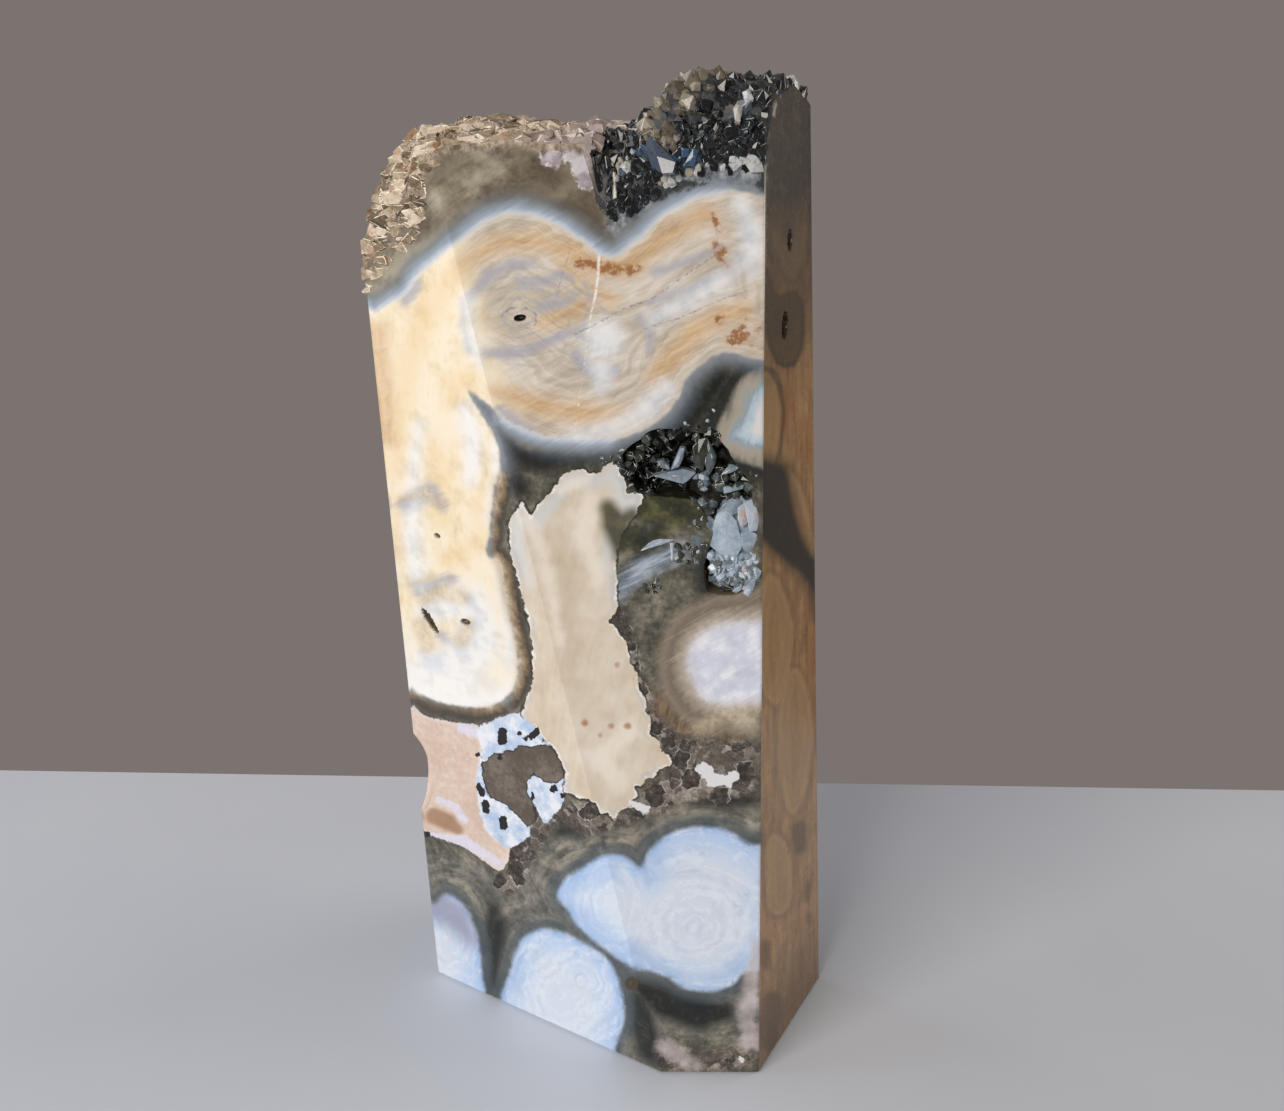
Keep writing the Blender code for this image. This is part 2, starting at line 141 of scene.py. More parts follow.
CHIPS = [(31.9, 20.2, 78.5, 2.5), (33.9, 20.3, 42.0, 2.7), (34.9, 20.4, 28.0, 2.5)]

# How closely each wall's mesh is divided, and each upright edge.
WALL_GRAIN = {"left_front": 0.44, "front_ridge": 0.42, "right_front": 0.9, "right_back": 1.6, "left_back": 1.5}
EDGE_STEPS = {"left_front": 330, "front_ridge": 340, "right_front": 340, "right_back": 100, "left_back": 100}
TOP_GRAIN = 0.55
TOP_FINE_GRAIN = 0.32

# Bodies in the polished front, as closed outlines in the picture's pixels.
CROWN = [
    (340, 330), (370, 311), (404, 289), (417, 270), (445, 247), (468, 228), (490, 214), (519, 209), (544, 214),
    (570, 228), (589, 241), (605, 252), (617, 252), (633, 238), (653, 219), (675, 203), (700, 193), (723, 190),
    (767, 196), (800, 205), (800, 352), (755, 358), (729, 352), (707, 360), (688, 377), (678, 399), (662, 419),
    (640, 431), (608, 443), (576, 444), (544, 441), (519, 431), (505, 426), (493, 409), (480, 398), (468, 391),
    (474, 402), (487, 424), (497, 446), (499, 470), (493, 495), (490, 527), (487, 555), (499, 563), (505, 591),
    (511, 623), (516, 645), (518, 664), (515, 684), (504, 699), (484, 707), (461, 706), (436, 701), (417, 692),
    (405, 684), (340, 660),
]
BOOT = [
    (509, 523), (515, 512), (522, 501), (524, 508), (531, 517), (538, 506), (550, 494), (556, 485), (563, 475),
    (572, 471), (582, 469), (590, 474), (601, 472), (606, 465), (612, 462), (618, 464), (620, 473), (626, 484),
    (627, 494), (635, 493), (643, 496), (640, 505), (636, 514), (629, 522), (621, 535), (617, 550), (615, 566),
    (617, 580), (616, 596), (618, 606), (609, 622), (617, 630), (625, 640), (628, 652), (630, 663), (637, 677),
    (637, 686), (645, 698), (646, 711), (651, 722), (649, 733), (659, 741), (661, 750), (672, 757), (670, 765),
    (659, 769), (654, 777), (646, 778), (641, 786), (634, 786), (637, 797), (630, 800), (627, 807), (619, 811),
    (614, 820), (607, 812), (601, 813), (595, 803), (589, 800), (575, 796), (564, 791), (566, 775), (561, 760),
    (554, 748), (545, 741), (535, 727), (522, 714), (529, 694), (533, 680), (533, 663), (532, 640), (530, 624),
    (523, 601), (517, 576), (511, 553),
]
BLUSH = [
    (380, 694), (410, 703), (426, 716), (459, 723), (478, 726), (482, 750), (479, 773), (480, 786), (490, 806),
    (486, 826), (497, 838), (509, 846), (508, 860), (500, 871), (485, 862), (467, 849), (453, 843), (438, 838),
    (426, 836), (380, 840),
]
FROST = [
    (476, 730), (490, 722), (506, 716), (523, 713), (536, 726), (546, 740), (556, 747), (562, 757), (568, 775),
    (565, 791), (562, 805), (553, 815), (545, 824), (538, 812), (530, 800), (529, 822), (529, 836), (509, 848),
    (497, 840), (484, 826), (478, 800), (477, 773), (482, 750),
]
QUARTZ_WINDOW = [
    (482, 763), (488, 761), (494, 753), (501, 755), (507, 750), (513, 752), (519, 746), (533, 747), (545, 745),
    (557, 747), (561, 760), (566, 775), (557, 782), (550, 783), (543, 780), (533, 773), (526, 782), (527, 794),
    (533, 804), (536, 820), (528, 826), (518, 815), (507, 805), (490, 797), (484, 782),
]
LARGE_ORB = [
    (557, 895), (564, 880), (574, 872), (585, 866), (598, 858), (611, 854), (624, 856), (634, 862), (642, 866),
    (650, 849), (665, 836), (683, 829), (706, 826), (730, 832), (747, 842), (775, 860), (775, 960), (745, 972),
    (735, 984), (722, 990), (704, 992), (683, 988), (668, 978), (652, 972), (632, 968), (616, 958), (603, 948),
    (590, 939), (578, 927), (569, 913),
]
SMALL_ORB = [
    (500, 1004), (503, 988), (510, 972), (515, 954), (523, 938), (541, 929), (562, 932), (585, 943), (606, 957),
    (617, 975), (623, 996), (624, 1022), (616, 1046), (606, 1075), (560, 1060), (500, 1040),
]
LEFT_ORB = [
    (405, 900), (433, 905), (441, 896), (450, 894), (464, 905), (476, 930), (481, 955), (482, 975), (480, 1000),
    (405, 1000),
]
RIGHT_ORB = [
    (790, 618), (760, 624), (735, 626), (712, 631), (698, 641), (691, 656), (692, 673), (700, 690), (712, 700),
    (735, 704), (760, 700), (790, 700),
]
EDGE_ORB = [
    (800, 350), (775, 362), (758, 368), (739, 380), (728, 404), (717, 425), (713, 444), (723, 455), (742, 463),
    (758, 467), (800, 474),
]

# Soft fields of colour in the bodies and in the quartz between them: strokes of (x, y, half width) in pixels.
AMBER = [
    [(462, 264, 6), (500, 243, 9), (540, 240, 10), (572, 252, 9), (600, 268, 9), (630, 266, 9), (655, 245, 9),
     (680, 228, 9), (705, 213, 8)],
    [(655, 378, 8), (675, 355, 11), (690, 335, 11), (720, 315, 9), (745, 310, 7)],
    [(497, 392, 7), (540, 405, 11), (590, 415, 11), (625, 415, 7)],
    [(545, 322, 5), (575, 310, 7), (592, 298, 5)],
    [(560, 262, 5), (590, 285, 5), (612, 300, 5)],
    [(380, 330, 6), (384, 380, 6), (390, 440, 7)],
]
HONEY = [
    [(455, 272, 8), (430, 310, 12), (408, 360, 12), (400, 420, 10), (396, 470, 9)],
    [(475, 372, 9), (455, 385, 9), (452, 400, 7)],
    [(425, 440, 9), (445, 470, 10), (440, 520, 8)],
    [(480, 500, 8), (486, 540, 6)],
    [(450, 560, 9), (470, 545, 8)],
    [(395, 500, 6), (402, 560, 7)],
]
RUST = [
    [(580, 262, 3), (610, 271, 5), (637, 270, 3)],
    [(713, 213, 2), (716, 219, 2)],
    [(720, 226, 3), (722, 233, 3)],
    [(717, 245, 3), (722, 254, 5), (727, 264, 4)],
    [(719, 321, 4)],
    [(742, 328, 3), (748, 334, 4), (740, 340, 4)],
    [(735, 333, 2)], [(752, 344, 3)], [(745, 318, 2)], [(731, 342, 3)], [(757, 330, 3)],
    [(617, 665, 2)], [(585, 723, 3)], [(628, 726, 3)], [(611, 726, 2)], [(600, 735, 2)],
]
SLATE = [
    [(468, 300, 3), (488, 276, 6), (512, 265, 5), (532, 263, 3)],
    [(520, 283, 4), (545, 281, 5), (560, 274, 4), (571, 277, 2)],
    [(470, 352, 2), (463, 325, 2), (464, 302, 2)],
    [(485, 353, 5), (508, 354, 6), (530, 350, 4), (560, 337, 4), (582, 328, 2)],
    [(540, 307, 3), (562, 303, 4), (575, 298, 2)],
    [(498, 407, 5), (512, 420, 6), (530, 432, 4)],
    [(575, 352, 5), (583, 366, 6), (600, 374, 6), (615, 371, 4)],
    [(640, 318, 3), (651, 335, 3), (648, 352, 3)],
    [(650, 303, 3), (690, 290, 4), (728, 270, 3)],
    [(655, 272, 4), (690, 262, 4), (722, 248, 3)],
    [(590, 300, 3), (586, 285, 3)],
    [(405, 300, 7), (418, 284, 6)],
    [(405, 505, 9), (430, 492, 10), (442, 505, 6)],
    [(420, 590, 8), (450, 580, 7)],
    [(440, 635, 5), (465, 655, 5)],
    [(425, 655, 5), (445, 668, 6)],
]
MILK = [
    [(604, 340, 20)],
    [(600, 368, 10), (602, 385, 8)],
    [(570, 438, 5), (612, 428, 8), (645, 412, 10), (665, 388, 9)],
    [(655, 318, 8), (690, 300, 9), (720, 282, 9), (738, 262, 8)],
    [(742, 205, 9), (752, 235, 12), (748, 265, 10)],
    [(467, 300, 5), (470, 340, 6), (480, 365, 4)],
    [(466, 410, 8), (474, 445, 9), (470, 480, 6)],
    [(420, 425, 5), (415, 460, 6), (412, 540, 9), (418, 580, 10)],
    [(430, 610, 14), (470, 600, 16), (480, 640, 22), (455, 670, 24), (430, 670, 16)],
    [(500, 570, 5), (508, 610, 6), (510, 660, 7)],
    [(495, 445, 3), (497, 480, 4), (490, 520, 4)],
]
COLUMN_RIM = [
    [(503, 480, 8), (503, 520, 12), (503, 550, 12), (508, 580, 12), (518, 612, 12), (527, 645, 12), (529, 676, 12),
     (520, 705, 10)],
    [(407, 693, 6), (430, 709, 8), (465, 715, 9), (500, 713, 10)],
]
BLUE_EDGE = [
    [(350, 322, 12), (385, 300, 16), (417, 270, 15), (445, 247, 15), (468, 228, 15), (490, 214, 15), (519, 209, 15),
     (544, 214, 14), (570, 228, 13), (589, 241, 12), (606, 250, 11)],
    [(617, 250, 10), (633, 238, 13), (653, 219, 14), (675, 203, 14), (700, 193, 10), (722, 190, 5)],
    [(500, 420, 6), (520, 431, 11), (544, 441, 12), (576, 444, 12), (606, 443, 8)],
]
NIGHT = [
    [(612, 228, 5), (622, 215, 13), (645, 195, 18), (680, 178, 18), (720, 168, 20), (765, 168, 20)],
    [(612, 205, 8), (625, 175, 14)],
]
ORB_BLUE = [
    [(560, 895, 5), (585, 880, 8), (612, 872, 7)], [(580, 915, 8), (600, 930, 6), (640, 955, 6)],
    [(650, 880, 5), (662, 862, 6)], [(520, 960, 4), (515, 985, 4)], [(440, 915, 8), (462, 920, 7)],
]
ORB_GREY = [[(438, 905, 15), (455, 916, 14), (472, 940, 8)]]
WEDGE = [[(757, 945, 3), (751, 985, 8), (747, 1015, 9), (749, 1042, 8)], [(664, 1046, 8), (684, 1060, 7), (700, 1066, 5)]]
CREAM_PATCH = [[(700, 728, 6), (722, 716, 9), (748, 716, 11)]]
STAIN = [
    [(424, 600, 7), (440, 592, 8), (466, 598, 7)], [(420, 625, 8), (428, 645, 7)], [(462, 640, 9), (470, 625, 7)],
    [(402, 500, 5), (424, 492, 6), (440, 505, 5)], [(410, 585, 4), (432, 578, 4)],
]
BOOT_STREAK = [
    [(564, 566, 4), (571, 590, 8), (571, 620, 8), (568, 648, 7), (574, 664, 4)],
    [(585, 716, 3), (590, 728, 2)], [(612, 716, 2), (620, 735, 3)],
]
BOOT_LIGHT = [
    [(528, 520, 6), (545, 560, 6), (560, 640, 5)], [(590, 500, 8), (585, 540, 8), (600, 580, 8)],
    [(630, 730, 9), (600, 760, 9), (620, 785, 9)], [(560, 490, 5), (585, 480, 5)],
]
BOOT_WINDOW = [[(608, 508, 9), (616, 524, 15), (622, 540, 14), (622, 556, 9)], [(616, 522, 8), (632, 516, 9)]]
HAZE = [
    [(437, 196, 7), (440, 206, 6)], [(470, 184, 7), (480, 176, 5)], [(392, 272, 9), (425, 246, 8), (455, 226, 6)],
    [(380, 290, 8), (366, 300, 8)], [(500, 170, 5), (478, 150, 6)], [(560, 196, 5), (520, 206, 4)],
]
UMBER_TOP = [
    [(528, 196, 6), (560, 206, 8), (595, 212, 9), (603, 232, 6)], [(540, 168, 6), (556, 180, 6)],
    [(408, 205, 6), (420, 226, 7)], [(446, 238, 3), (480, 216, 3), (510, 196, 3)],
]
UMBER = [
    [(700, 745, 7), (735, 742, 8)],
    [(640, 700, 16), (680, 722, 14), (710, 735, 10)],
    [(510, 425, 8), (530, 445, 6)],
]
MURK = [
    [(512, 452, 10), (540, 462, 13), (570, 458, 10), (610, 452, 9)],
    [(506, 470, 10), (520, 488, 10)],
    [(640, 447, 12), (675, 430, 17), (700, 402, 15), (722, 374, 9)], [(628, 462, 13), (632, 480, 13), (655, 492, 8)],
    [(726, 430, 8), (740, 452, 10), (752, 476, 8)], [(704, 560, 9), (706, 590, 9), (728, 600, 8), (752, 596, 8)],
    [(745, 368, 5), (725, 388, 7), (708, 420, 8), (702, 455, 9)],
    [(625, 478, 10), (660, 470, 10), (720, 470, 6), (752, 476, 6)],
    [(493, 910, 8), (488, 950, 7), (498, 925, 10), (492, 985, 8)],
    [(636, 985, 8), (665, 1003, 17), (700, 1014, 17), (725, 1012, 10)],
    [(636, 1000, 11), (642, 1025, 14), (650, 1052, 12)],
    [(704, 1068, 7)],
    [(612, 606, 6), (624, 632, 6), (634, 665, 6), (640, 700, 6), (655, 735, 7)],
    [(560, 830, 8), (590, 830, 7), (625, 818, 7)],
    [(690, 795, 9), (725, 800, 8), (750, 800, 7)],
]
OLIVE = [
    [(650, 508, 17), (685, 507, 22), (715, 505, 13), (745, 482, 9)],
    [(612, 520, 10), (625, 540, 12), (645, 540, 12)],
    [(660, 530, 10), (640, 560, 8)],
]
STEEL = [
    [(606, 612, 4), (612, 598, 7), (625, 583, 8), (642, 568, 9), (660, 560, 8), (680, 552, 7)],
]
CHALK = [
    [(385, 292, 8), (402, 272, 10), (425, 250, 8)],
    [(437, 198, 6)], [(474, 188, 6)], [(455, 225, 6), (480, 205, 5)],
    [(545, 880, 5), (575, 850, 8), (610, 838, 8), (650, 826, 7)],
    [(680, 812, 6), (730, 812, 7), (755, 822, 6)],
    [(455, 880, 6), (474, 896, 7), (486, 925, 6)],
    [(668, 1050, 8), (690, 1062, 6)], [(722, 1040, 8), (745, 1060, 6)], 
    [(725, 718, 10), (748, 722, 10)],
    [(715, 770, 8), (735, 778, 8)], [(627, 557, 12)],
]
CRACK = [
    [(606, 228, 1.8), (607, 238, 1.7), (599, 256, 1.4), (598, 277, 1.4), (595, 297, 1.2), (590, 320, 0.8)],
    [(590, 320, 0.3), (582, 380, 0.2), (575, 430, 0.5), (574, 446, 0.8)],
    [(585, 332, 0.5), (620, 312, 0.5)],
]
GREY_LINES = [
    [(575, 334, 0.7), (600, 322, 0.8), (625, 308, 0.8), (650, 300, 0.6), (690, 272, 0.6), (728, 246, 0.5)],
    [(640, 330, 0.5), (680, 318, 0.6), (720, 300, 0.6), (750, 290, 0.4)],
    [(500, 318, 0.4), (510, 308, 0.6), (525, 307, 0.6), (536, 314, 0.6), (536, 325, 0.5), (522, 330, 0.5)],
    [(570, 250, 0.4), (562, 275, 0.4), (556, 300, 0.3)],
]
SPECKS = [
    [(502, 731, 4), (502, 741, 4)], [(519, 733, 2)], [(526, 738, 2.5)], [(532, 736, 4), (537, 731, 3)],
    [(543, 741, 2)], [(478, 755, 2)], [(479, 787, 3), (482, 793, 3)], [(485, 803, 3.5), (486, 810, 3.5)],
    [(503, 820, 4), (504, 827, 3.5)], [(554, 789, 4)], [(563, 795, 2.5)], [(532, 793, 1.5), (533, 798, 1.5)],
    [(428, 834, 2.5)], [(500, 757, 2.5)],
]
DARK_QUARTZ = [
    [(517, 845, 7)], [(515, 868, 8)], [(534, 813, 7)], [(510, 855, 5), (520, 880, 5)], [(614, 606, 4), (622, 612, 4)],
    [(617, 626, 5), (627, 632, 4)], [(630, 648, 4)], [(636, 668, 4)], [(643, 690, 5)], [(656, 728, 6)],
    [(668, 742, 6)], [(680, 760, 8)], [(690, 780, 9)], [(655, 795, 10)], [(720, 795, 9)], [(640, 812, 6)],
    [(598, 806, 7), (588, 812, 7)], [(745, 772, 9)], [(500, 880, 6)],
]
GRAINS = [
    [(560, 815, 12), (590, 820, 13), (640, 805, 16), (690, 780, 20), (740, 775, 18)],
    [(540, 825, 12), (520, 860, 12), (510, 885, 8)],
    [(615, 612, 8), (628, 645, 7), (636, 675, 7), (650, 715, 8), (675, 745, 12)],
    [(690, 745, 12), (730, 752, 12), (752, 750, 8)],
    [(668, 1055, 14), (700, 1065, 12), (740, 1055, 12)],
    [(735, 770, 16)],
    [(480, 725, 6), (500, 720, 6)],
]
PALE_PATCHES = [
    [(704, 768, 6), (712, 780, 6), (728, 780, 6), (735, 774, 4)],
    [(741, 1060, 3)],
    [(633, 804, 3), (646, 810, 4)],
]
LENS = [[(434, 816, 8), (448, 822, 9), (458, 830, 5)]]
LILAC_EDGE = [
    [(430, 836, 4), (445, 838, 4), (465, 842, 6), (482, 852, 5), (500, 864, 4)],
    [(462, 728, 5), (474, 732, 5)],
    [(440, 800, 4), (455, 806, 3), (464, 820, 3)],
]
SMALL_EYE = [[(631.5, 983.5, 3.5)]]

# Ring centres of the orbs: x, y and how much wider than tall the rings are.
ORB_CENTRES = [(694, 926, 1.15), (611, 905, 0.8), (562, 996, 0.9), (580, 980, 0.9), (450, 940, 0.7)]
GREAT_EYE = (519, 317, 1.75)

# The same for the side wall.
SIDE_OVALS = [
    [(776, 165), (790, 152), (804, 178), (809, 220), (804, 262), (794, 280), (782, 272), (770, 235), (768, 195)],
    [(755, 378), (776, 374), (783, 400), (781, 443), (774, 468), (755, 470)],
    [(764, 575), (780, 578), (792, 610), (794, 650), (784, 700), (770, 704), (757, 680), (754, 630)],
    [(786, 672), (800, 668), (812, 700), (815, 740), (806, 795), (794, 816), (781, 796), (776, 745), (778, 700)],
    [(766, 838), (782, 836), (793, 860), (793, 900), (780, 916), (766, 905)],
    [(785, 470), (800, 480), (812, 520), (817, 556), (804, 560), (793, 520)],
]
SIDE_DARK_OVAL = [
    (764, 268), (770, 276), (777, 296), (795, 292), (803, 310), (803, 345), (792, 366), (776, 360), (766, 330),
    (762, 298),
]
SIDE_VEIN = [
    (750, 462), (775, 464), (786, 470), (794, 512), (806, 548), (820, 566), (826, 596), (812, 588), (800, 572),
    (780, 556), (764, 540), (750, 520),
]
SIDE_LINES = [
    [(758, 369, 1.5), (772, 371, 2.5), (779, 385, 2.5), (784, 410, 1.5), (781, 445, 1), (775, 466, 1)],
    [(768, 150, 3), (764, 190, 1.5), (766, 235, 1), (772, 262, 2)],
    [(808, 262, 1), (810, 220, 1), (807, 180, 2)],
]
SIDE_SHADES = [
    [(788, 226, 4), (788, 240, 4)], [(782, 318, 6), (781, 332, 6)], [(799, 828, 7), (800, 846, 7)],
    [(757, 826, 3), (760, 842, 3)], [(809, 915, 1.5), (809, 921, 1.5)], [(772, 1000, 8), (768, 1040, 9)],
    [(808, 885, 2), (806, 900, 2)], [(765, 945, 3), (766, 965, 3)], [(812, 590, 4), (816, 620, 3)],
]
SIDE_RUST = [
    [(787, 392, 4), (789, 410, 5), (786, 432, 3)], [(812, 605, 3), (814, 640, 3), (808, 680, 2)],
    [(804, 420, 3), (808, 460, 3)], [(815, 690, 2), (818, 740, 2)],
]

# Rough ground on the polished front: the broken left shoulder and the dark crystals above the crown.
ROUGH_SHOULDER = [
    (362, 258), (364, 180), (384, 150), (410, 128), (432, 158), (422, 196), (428, 222), (412, 240), (388, 262),
    (372, 292), (361, 300),
]
DRUSE = [
    (606, 226), (608, 196), (616, 158), (640, 130), (765, 120), (765, 164), (722, 168), (698, 172), (672, 184),
    (640, 206), (618, 222),
]
LILAC_FACETS = [
    [(573, 170), (597, 156), (612, 176), (604, 190), (580, 189)],
    [(556, 141), (594, 130), (604, 139), (590, 154), (575, 168), (563, 153)],
    [(541, 149), (554, 147), (565, 159), (555, 169), (539, 162)],
]
KNOB_PALE = [[(664, 118, 14), (680, 92, 18), (712, 72, 16), (736, 68, 8)], [(650, 128, 12), (668, 140, 10)]]
PALE_ROOTS = [[(660, 182, 6), (700, 172, 7), (750, 166, 8)], [(744, 160, 8)], [(618, 160, 6), (628, 165, 6)]]
BLUE_POINTS = [[(652, 150, 12), (668, 165, 10)], [(688, 160, 10)], [(625, 165, 8)], [(742, 110, 10)]]

# Crystals that show one by one: an outline in pixels, how far out it stands, how its face tips to the side and
# up, how high its middle rises, and its tone. A tone from 2 up puts it among the dark points.
TOP_SHARDS = [
    ([(612, 160), (616, 171), (617, 198), (613, 199)], 0.3, (-0.3, 0.1), 0.2, 2.93),
    ([(642, 141), (651, 136), (676, 162), (673, 173), (662, 174), (651, 165)], 0.9, (-0.3, 0.2), 0.5, 2.76),
    ([(683, 166), (693, 148), (699, 150), (694, 167)], 0.7, (0.2, 0.0), 0.4, 2.72),
    ([(744, 162), (752, 157), (762, 162), (764, 172), (751, 173)], 0.3, (0.1, 0.2), 0.4, 2.99),
    ([(742, 92), (750, 88), (754, 98), (746, 104)], 0.6, (0.0, 0.3), 0.4, 2.995),
    ([(733, 108), (738, 100), (743, 108), (740, 122), (735, 120)], 0.6, (0.1, 0.2), 0.4, 2.97),
]
HOLLOW_SHARDS = [
    ([(671, 470), (675, 461), (680, 449), (685, 448), (683, 459), (679, 467)], -0.2, (0.5, 0.1), 0.3, 0.86),
    ([(653, 476), (671, 474), (683, 469), (696, 473), (689, 480), (683, 484), (671, 480)], 0.0, (0.1, 0.6), 0.4, 0.8),
    ([(657, 461), (664, 460), (669, 464), (670, 470), (661, 468)], -0.5, (0.2, 0.4), 0.3, 0.72),
    ([(692, 457), (693, 447), (698, 440), (706, 437), (709, 452), (703, 472), (695, 466)], -0.1, (-0.4, 0.1), 0.5, 0.36),
    ([(707, 437), (711, 448), (717, 456), (715, 465), (709, 476), (705, 464)], 0.1, (0.5, 0.2), 0.4, 0.6),
    ([(721, 475), (730, 464), (740, 467), (736, 471), (727, 474)], -0.3, (0.0, 0.5), 0.3, 0.76),
    ([(723, 487), (733, 488), (744, 485), (743, 489), (731, 491), (724, 494)], 0.0, (0.0, 0.3), 0.2, 0.82),
    ([(641, 551), (648, 544), (658, 536), (668, 536), (682, 538), (670, 542), (658, 546)], 0.1, (0.0, 0.5), 0.25, 0.84),
    ([(670, 543), (674, 543), (674, 560), (671, 561)], 0.1, (0.3, 0.0), 0.2, 0.93),
    ([(709, 545), (711, 528), (718, 513), (727, 508), (737, 522), (743, 546), (736, 558), (722, 556)],
     0.0, (-0.05, 0.05), 0.5, 0.88),
    ([(711, 546), (714, 520), (724, 504), (738, 496), (760, 497), (760, 540), (757, 556), (736, 558)],
     -0.7, (0.0, 0.0), 0.1, 0.84),
    ([(724, 510), (729, 500), (737, 496), (742, 502), (738, 512), (732, 516)], -0.1, (0.0, 0.5), 0.4, 0.8),
    ([(738, 508), (744, 504), (750, 510), (748, 523), (742, 528), (738, 520)], 0.3, (0.3, 0.0), 0.25, 0.99),
    ([(744, 503), (760, 496), (761, 512), (757, 531), (750, 532), (749, 512)], 0.1, (0.4, 0.2), 0.4, 0.94),
    ([(741, 535), (750, 531), (757, 535), (759, 552), (749, 555), (743, 549)], 0.1, (0.3, -0.3), 0.4, 0.85),
    ([(700, 520), (707, 513), (714, 520), (712, 531), (705, 535)], -0.3, (-0.3, 0.1), 0.4, 0.7),
    ([(690, 534), (700, 530), (706, 538), (700, 547), (691, 546)], -0.1, (0.1, 0.2), 0.4, 0.66),
    # The last three are small pale crystals put where bright glints show: painted highlights.
    ([(711, 409), (714, 408), (716, 411), (714, 413)], 0.0, (0.2, 0.2), 0.2, 0.97),
    ([(706, 418), (710, 419), (709, 423), (705, 422)], 0.0, (0.0, 0.2), 0.2, 0.9),
    ([(683, 421), (687, 421), (687, 426), (684, 425)], 0.0, (0.2, 0.2), 0.2, 0.88),
]
# Sprays of small points: an outline in pixels, their spacing, how deep they root, their radii and tones.
HOLLOW_SPRAYS = [
    ([(624, 458), (655, 456), (690, 444), (716, 434), (722, 470), (700, 486), (640, 494), (626, 484)],
     12.0, 3.0, (0.8, 1.6), (0.0, 0.34)),
    ([(618, 460), (640, 446), (668, 428), (700, 420), (722, 438), (722, 446), (700, 432), (664, 444), (632, 470),
      (636, 488), (660, 492), (640, 498), (622, 484)], 8.5, 0.5, (0.5, 1.1), (0.0, 0.45)),
    ([(694, 424), (714, 414), (720, 436), (702, 444), (692, 440)], 9.0, 1.0, (0.5, 0.9), (0.2, 0.6)),
    ([(694, 474), (708, 472), (710, 490), (698, 494)], 7.0, 0.6, (0.4, 0.8), (0.5, 0.8)),
    ([(716, 470), (762, 462), (762, 496), (728, 500), (716, 490)], 10.0, 0.9, (0.6, 1.2), (0.1, 0.6)),
    ([(710, 556), (757, 553), (756, 576), (748, 592), (738, 588), (726, 586), (716, 578)],
     5.0, 0.3, (0.5, 1.0), (0.6, 1.0)),
    ([(708, 566), (730, 570), (752, 574), (748, 594), (730, 592), (716, 584)], 8.0, 1.2, (0.8, 1.3), (0.2, 0.7)),
    ([(641, 590), (646, 582), (658, 580), (665, 587), (663, 596), (654, 600), (644, 597)],
     7.5, 0.25, (0.5, 0.8), (0.1, 0.6)),
    ([(690, 500), (716, 496), (712, 512), (704, 536), (690, 530)], 9.0, 0.6, (0.6, 1.1), (0.3, 0.7)),
    ([(676, 538), (706, 540), (706, 560), (690, 570), (674, 562)], 9.0, 0.35, (0.5, 1.0), (0.3, 0.72)),
    ([(598, 452), (622, 450), (624, 462), (614, 470), (602, 468)], 8.0, 0.3, (0.4, 0.8), (0.1, 0.6)),
]


def wall_line(index, height):
    """A point on a wall at a height, and the wall's direction from above."""
    start = Vector(CORNERS[NAMES[index]])
    end = Vector(CORNERS[NAMES[(index + 1) % len(NAMES)]])
    along = (end - start).normalized()
    inward = Vector((-along.y, along.x))
    lean = math.tan(math.radians(LEANS[NAMES[index]]))
    return start + inward * (height * lean), along


def corner_at(index, height):
    point, along = wall_line(index, height)
    before, before_along = wall_line(index - 1, height)
    cross = before_along.x * along.y - before_along.y * along.x
    gap = point - before
    return before + before_along * ((gap.x * along.y - gap.y * along.x) / cross)


def outline(height, inset=0.0):
    """The block's outline at a height, with its rounded corners."""
    corners = [corner_at(i, height) for i in range(len(NAMES))]
    points = []
    for i, name in enumerate(NAMES):
        corner = corners[i]
        ahead = (corners[(i + 1) % len(NAMES)] - corner).normalized()
        behind = (corners[i - 1] - corner).normalized()
        turn = math.pi - ahead.angle(behind)
        radius = EDGE_ROUNDS[name]
        centre = corner + (ahead + behind).normalized() * (radius / math.cos(turn / 2))
        spoke = corner + behind * (radius * math.tan(turn / 2)) - centre
        inwards = (ahead + behind).normalized() * (inset / math.cos(turn / 2))
        for step in range(ROUND_STEPS + 1):
            points.append(centre + Matrix.Rotation(turn * step / ROUND_STEPS, 2) @ spoke + inwards)
    return points


def smooth_step(value, low, high):
    share = min(max((value - low) / (high - low), 0.0), 1.0)
    return share * share * (3 - 2 * share)


def smooth_min(a, b, width):
    blend = max(width - abs(a - b), 0.0) / width
    return min(a, b) - blend * blend * width / 4


def behind_wall(name, x, y):
    point, along = wall_line(NAMES.index(name), RIM_LEVEL)
    return Vector((-along.y, along.x)).dot(Vector((x, y)) - point)


def rounded_rise(foot, crest, depth, reach):
    share = min(max(depth / reach, 0.0), 1.0)
    return foot + (crest - foot) * math.sqrt(1 - (1 - share) ** 2)


def left_lobe(x, y):
    depth = min(behind_wall("left_front", x, y), behind_wall("front_ridge", x, y))
    foot_x, foot_z = LEFT_FOOT
    foot = smooth_min(foot_z + LEFT_FOOT_SLOPE * (x - foot_x), LEFT_FOOT_TOP, 3.0)
    end = max(LEFT_END - x, 0.0)
    return rounded_rise(foot, LEFT_CREST, depth, LEFT_DEPTH) - LEFT_END_FALL * end * end


